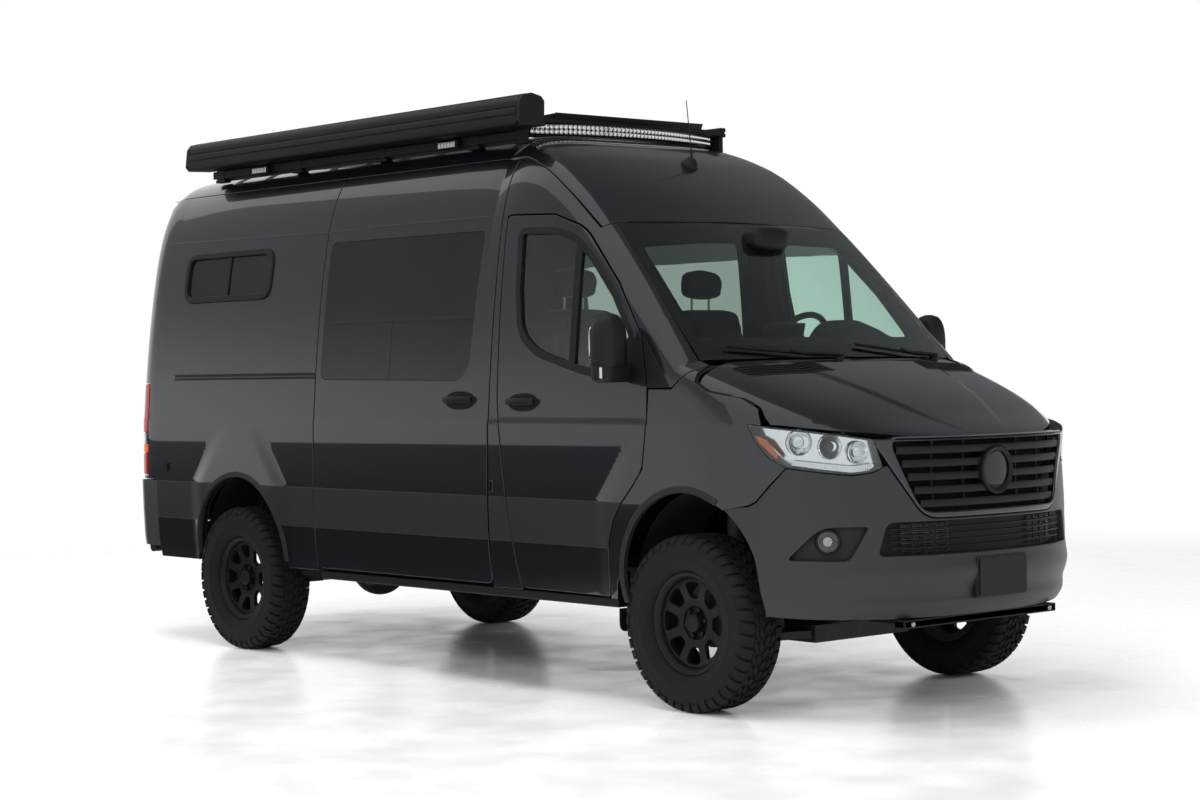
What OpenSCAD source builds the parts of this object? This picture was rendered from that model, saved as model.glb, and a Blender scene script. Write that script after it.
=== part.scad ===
// High-roof all-terrain van, built as separate panels on a chassis.
// X runs forward, Y to the left, Z up; the origin is on the ground
// under the middle of the van.

/* [Running gear] */
// distance between the axles
wheelbase = 3665; // [3640:5:3680]
// front axle ahead of the middle of the van
front_axle_x = 1960; // [1950:1:1970]
// middle of a tyre from the middle of the van
wheel_y = 872; // [866:1:874]
// radius of a tyre out to the lugs
tyre_r = 399; // [390:1:402]
// width of a tyre
tyre_w = 250; // [230:2:252]
// radius of the rim's flange
rim_r = 231; // [226:1:236]
// steering axis from the middle of the van
kingpin_y = 800; // [796:1:806]
// radius of the steering pin
kingpin_r = 22; // [18:1:26]
// radius of a wheel spindle
spindle_r = 32; // [28:1:36]

/* [Panels] */
// thickness of a side wall
wall = 45; // [35:1:55]
// thickness of a door
door_t = 58; // [45:1:65]
// thickness of the roof and the bonnet
roof_t = 38; // [30:1:45]
// thickness of a pane
glass_t = 6; // [4:0.5:8]
// shut line between a moving panel and its neighbour
gap = 7; // [6:0.5:9]
// play of a pin in its bore
play = 0.4; // [0.3:0.1:0.6]

/* [Fittings] */
// length of the awning case
awning_len = 3090; // [2900:10:3150]
// width of the roof rack over its rails
rack_w = 1380; // [1300:10:1400]
// half the length of the light bar
bar_half = 650; // [600:5:680]
// radius of the steering wheel
wheel_rim_r = 190; // [175:1:200]

/* [Hidden] */
rear_axle_x = front_axle_x - wheelbase;
hub_z = tyre_r;
$fn = 48;

// tail pieces follow the rear axle
tail = rear_axle_x + 1705;
// side section: [height, half width]
side_table = [[430, 968], [600, 992], [760, 1000], [930, 1004], [1290, 1000],
  [1330, 993], [1560, 976], [2262, 900], [2760, 845]];
// profile on the middle line: [station, height]
top_table = [[-2860, 2684], [-2600, 2728], [-2000, 2745], [0, 2752], [400, 2743],
  [650, 2704], [900, 2612], [1150, 2455], [1400, 2245], [2080, 1582], [2200, 1545],
  [2500, 1430], [2750, 1310], [2900, 1238], [2970, 1192]];
// how far the profile sweeps back toward the sides: [station, per square mm]
sweep_table = [[300, 0], [1300, 0.000157], [2100, 0.00018], [2600, 0.0002],
  [2970, 0.00042]];
// squareness of the upper corners: [station, exponent]
corner_table = [[500, 6], [1250, 14], [1950, 14], [2200, 9], [2970, 7]];
// height where the upper corners begin: [station, height]
base_table = [[1900, 1250], [2400, 1000], [2970, 850]];
// front face on the middle line: [height, station]
nose_table = [[430, 2925], [520, 2958], [620, 2960], [900, 2952], [1073, 2942],
  [1240, 2948], [1600, 2948]];
// rear face on the middle line: [height, station]
tail_table = [[430, -2836], [1200, -2845], [2600, -2800], [2760, -2780]];
nose_start = 2000;
nose_n = 2.5;
tail_start = -2480 + tail;
tail_n = 5;
// fall of the upper body toward the sides: [station, drop]
crown_table = [[500, 30], [1400, 8], [2970, 8]];
crown_y = 850;

function nose_part(x, z) =
  max(0, min(1, (x - nose_start) / (lookup(z, nose_table) - nose_start)));
function tail_part(x, z) =
  max(0, min(1, (x - tail_start) / (lookup(z, tail_table) + tail - tail_start)));
function side_w(x, z) =
  lookup(z, side_table)
  * pow(1 - pow(nose_part(x, z), nose_n), 1 / nose_n)
  * pow(1 - pow(tail_part(x, z), tail_n), 1 / tail_n);
function sweep(x) = lookup(x, sweep_table);
function fall(x, y) = lookup(x, crown_table) * pow(y / crown_y, 2);
function top_z(x, y) = lookup(x + sweep(x) * y * y, top_table) - fall(x, y);
function base_z(x) = lookup(x, base_table);
// half width of the body at a station and height, by halving
function excess(x, z, y, w) =
  let (p = lookup(x, corner_table), b = base_z(x))
  z <= b ? y / w - 1
  : z >= top_z(x, y) ? 1
  : pow(y / w, p) + pow((z - b) / (top_z(x, y) - b), p) - 1;
function half_w(x, z) = let (w = side_w(x, z)) halved(x, z, w, 0, w, 14);
function halved(x, z, w, low, high, step) =
  let (y = (low + high) / 2)
  step == 0 ? y
  : excess(x, z, y, w) > 0 ? halved(x, z, w, low, y, step - 1)
  : halved(x, z, w, y, high, step - 1);
// point of the upper body: u along the profile, c = 1 at the right side,
// 0 on the middle line and -1 at the left side
function over(u, c, t = 0) =
  let (p = lookup(u, corner_table), k = abs(c), s = pow(1 - pow(k, p), 1 / p),
    y1 = side_w(u, lookup(u, top_table)) * k, x = u - sweep(u) * y1 * y1,
    z = base_z(u) + (lookup(u, top_table) - fall(u, y1) - t - base_z(u)) * s)
  [x, -(side_w(x, z) - t) * c, z];
// shares across the upper body, thicker toward the corners
across = [1, 0.98, 0.95, 0.9, 0.84, 0.77, 0.62, 0.4, 0.2, 0, -0.2, -0.4, -0.62, -0.77, -0.84,
  -0.9, -0.95, -0.98, -1];
// point of the nose: f = 0 in front, 90 at the side
function round_nose(f, z, t = 0) =
  let (c = pow(abs(cos(f)), 2 / nose_n), s = pow(abs(sin(f)), 2 / nose_n) * sign(f))
  [nose_start + (lookup(z, nose_table) - nose_start - t) * c,
    (lookup(z, side_table) - t) * s, z];
function rear_x(y, z) =
  lookup(z, tail_table) + tail
  + (tail_start - tail - lookup(z, tail_table))
    * (1 - pow(1 - pow(min(1, abs(y) / lookup(z, side_table)), tail_n), 1 / tail_n));

// closed shell between two grids of points; seen from outside the rows
// run to the right and the columns run up
module shell(outer, inner) {
  n = len(outer);
  m = len(outer[0]);
  k = n * m;
  points = concat([for (r = outer) for (p = r) p], [for (r = inner) for (p = r) p]);
  faces = [
    for (i = [0:n - 2]) for (j = [0:m - 2]) let (a = i * m + j)
      each [[a, a + 1, a + m + 1], [a, a + m + 1, a + m],
        [k + a, k + a + m + 1, k + a + 1], [k + a, k + a + m, k + a + m + 1]],
    for (i = [0:n - 2]) let (a = i * m, b = i * m + m - 1)
      each [[a, a + m, k + a + m], [a, k + a + m, k + a],
        [b, k + b, k + b + m], [b, k + b + m, b + m]],
    for (j = [0:m - 2]) let (a = j, b = (n - 1) * m + j)
      each [[a, k + a, k + a + 1], [a, k + a + 1, a + 1],
        [b, b + 1, k + b + 1], [b, k + b + 1, k + b]]];
  polyhedron(points, faces);
}

// rounded outline from [across, up, corner] rows
function unit(v) = v / norm(v);
function soft(rows, n = 3) =
  [for (i = [0:len(rows) - 1])
    let (q = len(rows), r = rows[i][2], p = [rows[i][0], rows[i][1]],
      a = rows[(i + q - 1) % q], b = rows[(i + 1) % q],
      s = p + unit([a[0], a[1]] - p) * r, e = p + unit([b[0], b[1]] - p) * r)
    each r == 0 ? [p] : [for (k = [0:n]) let (t = k / n)
      (1 - t) * (1 - t) * s + 2 * t * (1 - t) * p + t * t * e]];
// outline moved outward by d; rows run anticlockwise
function grow(rows, d) =
  [for (i = [0:len(rows) - 1])
    let (q = len(rows), p = rows[i], a = rows[(i + q - 1) % q], b = rows[(i + 1) % q],
      e1 = unit([p[0] - a[0], p[1] - a[1]]), e2 = unit([b[0] - p[0], b[1] - p[1]]),
      n1 = [e1[1], -e1[0]], n2 = [e2[1], -e2[0]], k = d / (1 + n1 * n2))
    [p[0] + (n1[0] + n2[0]) * k, p[1] + (n1[1] + n2[1]) * k, p[2]]];
// outline through the right half, seen from the right
module through_right(rows) {
  rotate([90, 0, 0]) linear_extrude(1300) polygon(soft(rows));
}
// outline through the whole width, seen from the right
module through_sides(rows) {
  rotate([90, 0, 0]) linear_extrude(2600, center = true) polygon(soft(rows));
}
// outline through the front half, seen from the front: across is Y
module through_front(rows) {
  rotate([90, 0, 90]) linear_extrude(3200) polygon(soft(rows));
}
module through_rear(rows) {
  mirror([1, 0, 0]) rotate([90, 0, 90]) linear_extrude(3200 - tail) polygon(soft(rows));
}
module both() {
  children();
  mirror([0, 1, 0]) children();
}
module box(x, y, z) {
  translate([x[0], y[0], z[0]]) cube([x[1] - x[0], y[1] - y[0], z[1] - z[0]]);
}

// heights of the columns of a side panel
low_z = [440, 520, 600, 760, 930, 1110, 1290, 1330, 1560, 1900, 2262];
high_z = [2400, 2480, 2540, 2580, 2615];
module side_skin(xs, zs, t, inset = 0) {
  shell([for (x = xs) [for (z = zs) [x, inset - half_w(x, z), z]]],
    [for (x = xs) [for (z = zs) [x, inset + t - half_w(x, z), z]]]);
}
// skin whose ends lean: [height, rear end, front end]
module leaning_skin(rows, n, t, inset = 0) {
  shell([for (i = [0:n]) [for (r = rows) let (x = r[1] + (r[2] - r[1]) * i / n)
      [x, inset - half_w(x, r[0]), r[0]]]],
    [for (i = [0:n]) [for (r = rows) let (x = r[1] + (r[2] - r[1]) * i / n)
      [x, inset + t - half_w(x, r[0]), r[0]]]]);
}
module nose_skin(zs, t, inset = 0, f = 72, n = 18) {
  shell([for (i = [0:n]) [for (z = zs) round_nose(-f + 2 * f * i / n, z, inset)]],
    [for (i = [0:n]) [for (z = zs) round_nose(-f + 2 * f * i / n, z, inset + t)]]);
}
module rear_skin(ys, zs, t, inset = 0) {
  shell([for (y = ys) [for (z = zs) [rear_x(y, z) + inset, y, z]]],
    [for (y = ys) [for (z = zs) [rear_x(y, z) + inset + t, y, z]]]);
}

// outlines seen from the right: [station, height, corner]
roof_seam_z = 2598;
sill_z = 484;
front_door_rows = [[827, 494, 30], [1474, 491, 25], [1486, 603, 0], [1490, 750, 0],
  [1530, 849, 0], [1591, 935, 0], [1665, 1013, 40], [1722, 1090, 30], [1737, 1313, 0],
  [1732, 1458, 0], [1680, 1690, 60], [1490, 1936, 0], [1327, 2100, 0], [1215, 2212, 70],
  [1000, 2284, 0], [640, 2300, 30], [645, 1889, 0], [660, 1400, 0], [691, 1206, 0],
  [734, 935, 0], [781, 699, 0]];
front_glass_rows = [[935, 1622, 60], [1231, 1545, 0], [1405, 1508, 0], [1480, 1500, 60],
  [1622, 1690, 25], [1480, 1890, 0], [1310, 2062, 0], [1170, 2175, 60], [1004, 2213, 0],
  [752, 2226, 45], [765, 1932, 0], [800, 1720, 70]];
slider_rows = [[-905, 500, 40], [596, 500, 50], [582, 760, 0], [590, 1400, 0],
  [590, roof_seam_z - 0.3, 0], [-905, roof_seam_z - 0.3, 0]];
slider_glass_rows = [[-860, 1510, 50], [360, 1496, 60], [424, 1580, 40], [470, 2236, 40],
  [-860, 2244, 50]];
quarter_glass_rows = [[-2300 + tail, 1975, 80], [-1420 + tail, 1975, 80],
  [-1420 + tail, 2232, 80], [-2300 + tail, 2232, 80]];
left_glass_rows = [[-860, 1510, 70], [430, 1500, 90], [470, 2236, 60], [-860, 2244, 60]];
headlamp_rows = [[2352, 1292, 12], [2393, 1212, 0], [2451, 1145, 30], [2521, 1105, 0],
  [2649, 1086, 0], [2746, 1070, 30], [2800, 1082, 20], [2822, 1105, 10], [2806, 1224, 10],
  [2714, 1246, 0], [2582, 1267, 0], [2413, 1286, 0]];
fender_rows = [[1440, 380, 0], [2230, 380, 0], [2230, 932, 0], [2357, 941, 15],
  [2392, 958, 0], [2458, 1033, 0], [2524, 1104, 0], [2600, 1160, 0], [2444, 1284, 0],
  [2371, 1359, 25], [2279, 1405, 0], [2115, 1435, 20], [2038, 1476, 25], [2018, 1548, 20],
  [1900, 1448, 0], [1700, 1448, 0], [1680, 1020, 0]];
bumper_rows = [[2100, 380, 0], [2990, 380, 0], [2990, 1216, 0], [2812, 1222, 0],
  [2640, 1150, 0], [2529, 1104, 0], [2462, 1029, 0], [2395, 953, 0], [2357, 936, 15],
  [2100, 926, 0]];
bonnet_rows = [[1920, 1640, 0], [2022, 1556, 20], [2042, 1482, 25], [2117, 1441, 20],
  [2281, 1411, 0], [2374, 1365, 25], [2446, 1290, 0], [2582, 1271, 0], [2714, 1250, 0],
  [2806, 1228, 0], [2990, 1222, 0], [2990, 1700, 0], [1920, 1700, 0]];
cab_rows = [[602, 2307, 0], [1140, 2260, 0], [1700, 1600, 0], [1745, 1454, 0],
  [1898, 1454, 0], [2016, 1554, 20], [2060, 1590, 0], [2200, 1600, 0], [2200, 2900, 0],
  [602, 2900, 0]];
// outlines seen from the front: [across, height, corner]
grille_rows = [[-448, 905, 40], [448, 905, 40], [578, 1190, 12], [560, 1216, 12],
  [-560, 1216, 12], [-578, 1190, 12]];
intake_rows = [[-620, 720, 30], [620, 720, 30], [590, 852, 30], [-590, 852, 30]];
fog_rows = [[-900, 706, 20], [-738, 702, 25], [-668, 846, 12], [-820, 846, 50]];
rear_door_rows = [[-784, 660, 40], [-gap / 2, 660, 10], [-gap / 2, 2586, 10],
  [-700, 2586, 60], [-784, 2400, 0]];
rear_glass_rows = [[-640, 1580, 70], [-150, 1580, 70], [-150, 2240, 70], [-610, 2240, 70]];
tail_lamp_rows = [[-2900 + tail, 958, 0], [-2630 + tail, 958, 30],
  [-2630 + tail, 1502, 30], [-2900 + tail, 1502, 0]];

// wheel openings
front_arch = [1995, 588, 404];
rear_arch = [-1648 + tail, 535, 442];
module front_arch_cut() {
  rotate([90, 0, 0]) linear_extrude(1300) {
    translate([front_arch[0], front_arch[1]]) circle(front_arch[2]);
    polygon([[1515, 300], [1545, 560], [1605, 690], [2380, 690], [2400, 560], [2412, 300]]);
  }
}
module rear_arch_cut() {
  rotate([90, 0, 0]) linear_extrude(1300) {
    translate([rear_arch[0], rear_arch[1]]) circle(rear_arch[2]);
    translate([rear_arch[0] - rear_arch[2] - 20, 300]) square([2 * rear_arch[2] + 40, 220]);
  }
}

paint = [0.3, 0.33, 0.38];
charcoal = [0.2, 0.2, 0.21];
black = [0.1, 0.1, 0.11];
clear = [0.6, 0.72, 0.7, 0.5];
steel = [0.5, 0.5, 0.52];

// rear bumper line on the flanks
clad_z = 930;
bumper_x = -2535 + tail;
rear_end_x = -2832 + tail;
quarter_xs = [rear_end_x, -2826 + tail, -2815 + tail, -2790 + tail, -2750 + tail,
  -2690 + tail, -2600 + tail, tail_start];
corner_y = 790;
step_z = 648;
// rear door hinges: axis, pin, barrel and their heights
hinge_x = -2862 + tail;
hinge_y = -796;
hinge_pin_r = 6;
hinge_barrel_r = 13;
hinge_h = 70;
hinge_zs = [780, 1880];
module hinge_leaf() {
  for (z = hinge_zs) {
    translate([hinge_x, hinge_y, z - 20]) cylinder(r = hinge_pin_r, h = hinge_h + 40);
    for (k = [z - 20, z + hinge_h + 2]) hull() {
      translate([hinge_x, hinge_y, k]) cylinder(r = hinge_barrel_r, h = 18, $fn = 32);
      translate([hinge_x + 70, hinge_y - 26, k]) cube([10, 16, 18]);
    }
  }
}
module hinge_barrel() {
  for (z = hinge_zs) difference() {
    hull() {
      translate([hinge_x, hinge_y, z]) cylinder(r = hinge_barrel_r, h = hinge_h, $fn = 32);
      translate([hinge_x + 46, hinge_y + 40, z]) cube([10, 30, hinge_h]);
    }
    translate([hinge_x, hinge_y, z - 1]) cylinder(r = hinge_pin_r + play, h = hinge_h + 2);
  }
}
module quarter_trim() {
  translate([-3100 + tail, -1300, 300]) cube([4000, 1300 - corner_y, 3000]);
}
// outline of a side panel up to its front edge
function flank_rows(front) = [[-2900 + tail, step_z + 4, 0], [bumper_x, step_z + 4, 0],
  [bumper_x + 4, sill_z, 0], [front, sill_z, 0], [front, roof_seam_z, 0],
  [-2900 + tail, roof_seam_z, 0]];
// room for the bumper's corner
bumper_inner_y = 832;
module bumper_room() {
  box([-3000 + tail, bumper_x], [-1200, 2 - bumper_inner_y], [400, clad_z + 8]);
}
module right_side() {
  color(paint) difference() {
    intersection() {
      side_skin(concat(quarter_xs, [-905 - gap]), concat(low_z, high_z), wall);
      quarter_trim();
      through_right(flank_rows(-905 - gap));
    }
    bumper_room();
    rear_arch_cut();
    through_right(quarter_glass_rows);
    through_right(tail_lamp_rows);
    translate([-2345 + tail, -1010, 1514]) cube([1500, 60, 36]);
  }
  color(black) hinge_leaf();
}
module left_side() {
  color(paint) difference() {
    mirror([0, 1, 0]) intersection() {
      side_skin(concat(quarter_xs, [590]), concat(low_z, high_z), wall);
      quarter_trim();
      through_right(flank_rows(590));
    }
    mirror([0, 1, 0]) {
      bumper_room();
      rear_arch_cut();
      through_right(quarter_glass_rows);
      through_right(left_glass_rows);
      through_right(tail_lamp_rows);
    }
  }
  color(black) mirror([0, 1, 0]) hinge_leaf();
}
module sliding_door() {
  color(paint) difference() {
    intersection() {
      side_skin([-920, 120, 640], concat(low_z, high_z), wall);
      through_right(slider_rows);
    }
    through_right(slider_glass_rows);
  }
  color(black) door_handle(260);
}
module flank_pane(rows, rear, front) {
  intersection() {
    side_skin([rear, front], [1470, 1560, 1900, 2262, 2290], glass_t, 2);
    through_right(rows);
  }
}
module flank_glass(rows) {
  flank_pane(rows, -930, 530);
  flank_pane(quarter_glass_rows, -2390 + tail, -1350 + tail);
}
module side_glass() {
  color(clear) {
    flank_glass(slider_glass_rows);
    mirror([0, 1, 0]) flank_glass(left_glass_rows);
  }
}
module tail_lamps() {
  color([0.6, 0.05, 0.05]) both() intersection() {
    side_skin(quarter_xs, [940, 1110, 1290, 1330, 1520], wall - 5, 2);
    quarter_trim();
    through_right(tail_lamp_rows);
  }
}

// roof from seam to seam
roof_us = [-2768, -2740, -2700, -2640, -2560, -2480, -2000, 0, 300, 400, 500, 600, 700, 800,
  900, 1000, 1100, 1200, 1300, 1396];
// height of the roof's edge below its middle line: [station, drop]
edge_table = [[600, 104], [1396, 34]];
function roof_edge(u, low = 0) =
  let (p = lookup(u, corner_table), top = lookup(u, top_table),
    s = (min(roof_seam_z, top - lookup(u, edge_table)) - low - base_z(u))
      / (top - fall(u, 735) - base_z(u)))
  pow(1 - pow(s, p), 1 / p);
function tail_u(u) = u < -1900 ? u + tail : u;
module roof() {
  color(paint) difference() {
    union() {
      shell([for (u = roof_us) [for (c = across) over(tail_u(u), c * roof_edge(u))]],
        [for (u = roof_us) [for (c = across) over(tail_u(u), c * roof_edge(u), roof_t)]]);
      rear_skin([for (y = [700:-140:-700]) y], [roof_seam_z - 10, 2662], door_t);
    }
    box([-3000, 602], [-1000, 1000], [2300, roof_seam_z]);
  }
}

// windscreen: [profile station, half width]
screen_rows = [[1402, 782], [1560, 800], [1740, 818], [1910, 836], [2078, 852]];
screen_play = 4;
screen_t = glass_t * 1.4;
function screen_point(u, y, t) =
  [u - sweep(u) * y * y, y, lookup(u, top_table) - fall(u, y) - t];
module screen_strip(rows, low, high, narrow) {
  shares = [for (j = [-6:6]) j / 6];
  shell([for (r = rows) [for (k = shares) screen_point(r[0], (r[1] - narrow) * k, low)]],
    [for (r = rows) [for (k = shares) screen_point(r[0], (r[1] - narrow) * k, high)]]);
}
module windscreen() {
  color(clear) screen_strip(screen_rows, 3, 3 + screen_t, screen_play);
}

cab_us = [560, 700, 850, 1000, 1150, 1300, 1398, 1402, 1560, 1740, 1910, 2078, 2140];
function cab_in(u) = u < 1400 ? roof_edge(u, 2.7)
  : lookup(u, screen_rows) / side_w(u, lookup(u, top_table));
pillar_rows = [[480, 570, 860], [760, 570, 800], [930, 570, 760], [1290, 570, 700],
  [1330, 570, 700], [1560, 570, 690], [1900, 570, 680], [2262, 570, 680], [2330, 570, 680]];
module cab_frame() {
  shares = [0, 0.1, 0.25, 0.5, 0.75, 1];
  color(paint) {
    both() difference() {
      intersection() {
        shell([for (u = cab_us) [for (k = shares) over(u, 1 + (cab_in(u) - 1) * k)]],
          [for (u = cab_us) [for (k = shares) over(u, 1 + (cab_in(u) - 1) * k, wall)]]);
        through_right(cab_rows);
      }
      through_right(grow(front_door_rows, gap));
    }
    difference() {
      both() intersection() {
        leaning_skin(pillar_rows, 1, wall);
        through_right([[600, sill_z, 0], [900, sill_z, 0], [900, 2306, 0], [600, 2306, 0]]);
      }
      both() through_right(grow(front_door_rows, gap));
    }
  }
  color(black) both() box([-905, 1500], [-966, -880], [440, sill_z - 0.3]);
  // strikers of the front doors
  color(black) both() box([680, 698.4], [-999, -986], [1150, 1156]);
  // scuttle under the base of the windscreen, with a seal below the bonnet
  color(black) {
    screen_strip([[2060, 850], [2078, 852], [2102, 852]], 3 + screen_t + 0.3, 70, screen_play);
    screen_strip([[2098, 852], [2130, 852]], roof_t + 10, 70, screen_play);
    both() box([1948, 1985], [-878, -830], [1500, 1542]);
    shell([for (u = seal_us) [for (c = middle) over(u, c * 0.9999, roof_t + 0.4)]],
      [for (u = seal_us) [for (c = middle) over(u, c * 0.9999, roof_t + 24)]]);
  }
}
seal_us = [2112, 2200];
middle = [for (c = across) if (abs(c) < 0.8) c];

bonnet_us = [2112, 2200, 2350, 2500, 2600, 2700, 2780, 2840, 2890, 2925, 2944];
module bonnet() {
  color(paint) intersection() {
    shell([for (u = bonnet_us) [for (c = across) over(u, c * 0.9999)]],
      [for (u = bonnet_us) [for (c = across) over(u, c * 0.9999, roof_t)]]);
    through_sides(bonnet_rows);
  }
}
module fenders() {
  color(paint) both() difference() {
    intersection() {
      side_skin([1440, 1700, 2000, 2100, 2200, 2300, 2400, 2480, 2560],
        [440, 600, 760, 930, 1110, 1290, 1330, 1400, 1460, 1510, 1560], wall);
      through_right(fender_rows);
      box([1400, 2700], [-1200, 0], [sill_z, 1600]);
    }
    front_arch_cut();
    through_right(grow(front_door_rows, gap));
    through_right(grow(headlamp_rows, 0.4));
  }
}
module front_bumper() {
  color(charcoal) difference() {
    intersection() {
      nose_skin([436, 470, 520, 620, 760, 900, 1073, 1216], wall);
      through_sides(bumper_rows);
    }
    both() front_arch_cut();
    through_sides(grow(headlamp_rows, 0.4));
    through_front(grille_rows);
    through_front(intake_rows);
    both() through_front(fog_rows);
  }
  color(black) {
    intersection() {
      nose_skin([690, 760, 820, 880], 14, 30);
      through_front(intake_rows);
    }
    box([2946, 2970], [-160, 160], [536, 692]);
  }
}
slat_zs = [966, 1024, 1082, 1140, 1196];
// half length of a slot between slats: [height, half]
slot_table = [[900, 400], [1220, 500]];
boss_r = 108;
module grille() {
  color(black) {
    difference() {
      intersection() {
        nose_skin([880, 960, 1073, 1150, 1240], 36, 6);
        through_front(grille_rows);
      }
      through_sides(grow(headlamp_rows, 0.4));
      for (z = slat_zs) box([2700, 2990], [-lookup(z, slot_table), lookup(z, slot_table)],
        [z - 12, z + 12]);
    }
    // bare round boss
    translate([2902, 0, 1072]) rotate([0, 90, 0]) difference() {
      cylinder(r = boss_r, h = 50);
      translate([0, 0, 40]) cylinder(r = boss_r - 22, h = 20);
    }
  }
}
module headlamps() {
  color([0.85, 0.87, 0.9]) both() {
    intersection() {
      nose_skin([1040, 1073, 1150, 1240, 1310], wall, 2, 80, 40);
      through_right(headlamp_rows);
    }
    intersection() {
      nose_skin([670, 760, 870], 20, 22);
      through_front(fog_rows);
    }
  }
}
module rear_bumper() {
  color(charcoal) difference() {
    rear_skin_bumper();
    // step below the rear doors
    box([-3000 + tail, -2700 + tail], [-bumper_inner_y, bumper_inner_y], [step_z, 1000]);
  }
}
module rear_skin_bumper() {
  n = 16;
  zs = [545, 600, 760, 900, clad_z];
  shell([for (i = [0:n]) [for (z = zs) bumper_point(90 - 180 * i / n, z, 0)]],
    [for (i = [0:n]) [for (z = zs) bumper_point(90 - 180 * i / n, z, wall)]]);
}
function bumper_point(f, z, t) =
  let (c = pow(abs(cos(f)), 0.5), s = pow(abs(sin(f)), 0.5) * sign(f))
  [bumper_x - (bumper_x - (-2905 + tail) - t) * c, (lookup(z, side_table) - t) * s, z];

module front_door(rows, glass) {
  difference() {
    intersection() {
      leaning_skin([[470, 800, 1500], [600, 780, 1510], [760, 740, 1530], [930, 700, 1620],
        [1110, 670, 1745], [1290, 650, 1750], [1330, 645, 1750], [1560, 640, 1735],
        [1690, 640, 1690], [1900, 636, 1540], [2100, 632, 1345], [2262, 630, 1180],
        [2310, 630, 1040]], 8, door_t);
      through_right(rows);
    }
    through_right(glass);
  }
}
module front_pane(glass) {
  intersection() {
    leaning_skin([[1480, 700, 1640], [1560, 700, 1690], [1690, 700, 1650], [1900, 700, 1500],
      [2100, 700, 1300], [2262, 700, 1120]], 4, glass_t, 3);
    through_right(glass);
  }
}
module mirror_head() {
  intersection() {
    box([1548, 1672], [-1170, -1046], [1478, 1794]);
    translate([1500, -1100, 1636]) rotate([0, 90, 0]) cylinder(r = 164, h = 300);
  }
  // foot on the door
  side_skin([1585, 1650], [1490, 1530], 80, -80.3);
}
module door_handle(rear) { side_skin([rear, rear + 190], [1376, 1406], 30, -26); }
module hung_door() {
  color(paint) front_door(front_door_rows, front_glass_rows);
  color(black) door_handle(760);
}
module right_door() { hung_door(); }
module left_door() { mirror([0, 1, 0]) hung_door(); }
module right_door_glass() { color(clear) front_pane(front_glass_rows); }
module left_door_glass() { color(clear) mirror([0, 1, 0]) front_pane(front_glass_rows); }
module right_mirror() { color(black) mirror_head(); }
module left_mirror() { color(black) mirror([0, 1, 0]) mirror_head(); }

rear_ys = [-5, -200, -400, -560, -660, -720, -760, -800];
module rear_door_panel() {
  difference() {
    intersection() {
      rear_skin(rear_ys, [600, 1200, 2600], door_t);
      through_rear(rear_door_rows);
    }
    through_rear(rear_glass_rows);
  }
}
module rear_pane() {
  intersection() {
    rear_skin(rear_ys, [1500, 2300], glass_t, 3);
    through_rear(rear_glass_rows);
  }
}
module right_rear_door() {
  color(paint) rear_door_panel();
  color(black) hinge_barrel();
}
module left_rear_door() { mirror([0, 1, 0]) right_rear_door(); }
module right_rear_glass() { color(clear) rear_pane(); }
module left_rear_glass() { color(clear) mirror([0, 1, 0]) rear_pane(); }

// wheels, axis along Z with the outer face up
rim_half = 90;
tyre_bead_r = rim_r - 14;
module rim() {
  difference() {
    union() {
      rotate_extrude() polygon([[tyre_bead_r - 22, -rim_half], [rim_r, -rim_half],
        [rim_r, -rim_half + 10], [tyre_bead_r, -rim_half + 22], [tyre_bead_r, rim_half - 22],
        [rim_r, rim_half - 10], [rim_r, rim_half], [rim_r - 14, rim_half],
        [tyre_bead_r - 14, rim_half - 20], [tyre_bead_r - 14, -rim_half + 12]]);
      rotate_extrude() polygon([[0, 8], [88, 8], [120, 22], [tyre_bead_r - 10, 30],
        [tyre_bead_r - 10, 62], [130, 58], [88, 44], [80, 58], [50, 74], [0, 78]]);
    }
    for (k = [0:7]) rotate(45 * k) translate([166, 0, 0])
      linear_extrude(120) polygon([[-32, -24], [32, -46], [32, 46], [-32, 24]]);
    translate([0, 0, -120]) cylinder(r = spindle_r + play, h = 170);
  }
}
// out to the tips of the tread blocks
module tyre() {
  h = tyre_w / 2;
  rotate_extrude($fn = 44) polygon([[tyre_bead_r + play, -rim_half + 24], [rim_r + 4, -rim_half + 6],
    [rim_r + 6, -rim_half - 12], [300, -h], [350, -h], [tyre_r - 22, -h + 8], [tyre_r - 3, -h + 26],
    [tyre_r, 0], [tyre_r - 3, h - 26], [tyre_r - 22, h - 8], [350, h], [300, h],
    [rim_r + 6, rim_half + 12], [rim_r + 4, rim_half - 6], [tyre_bead_r + play, rim_half - 24],
    [tyre_bead_r + 40, 0]]);
}
module right_wheel_at(x) {
  translate([x, -wheel_y, hub_z]) rotate([90, 0, 0]) children();
}
module left_wheel_at(x) {
  mirror([0, 1, 0]) right_wheel_at(x) children();
}
module front_right_rim() { color(black) right_wheel_at(front_axle_x) rim(); }
module front_left_rim() { color(black) left_wheel_at(front_axle_x) rim(); }
module rear_right_rim() { color(black) right_wheel_at(rear_axle_x) rim(); }
module rear_left_rim() { color(black) left_wheel_at(rear_axle_x) rim(); }
module front_right_tyre() { color(black) right_wheel_at(front_axle_x) tyre(); }
module front_left_tyre() { color(black) left_wheel_at(front_axle_x) tyre(); }
module rear_right_tyre() { color(black) right_wheel_at(rear_axle_x) tyre(); }
module rear_left_tyre() { color(black) left_wheel_at(rear_axle_x) tyre(); }

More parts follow.
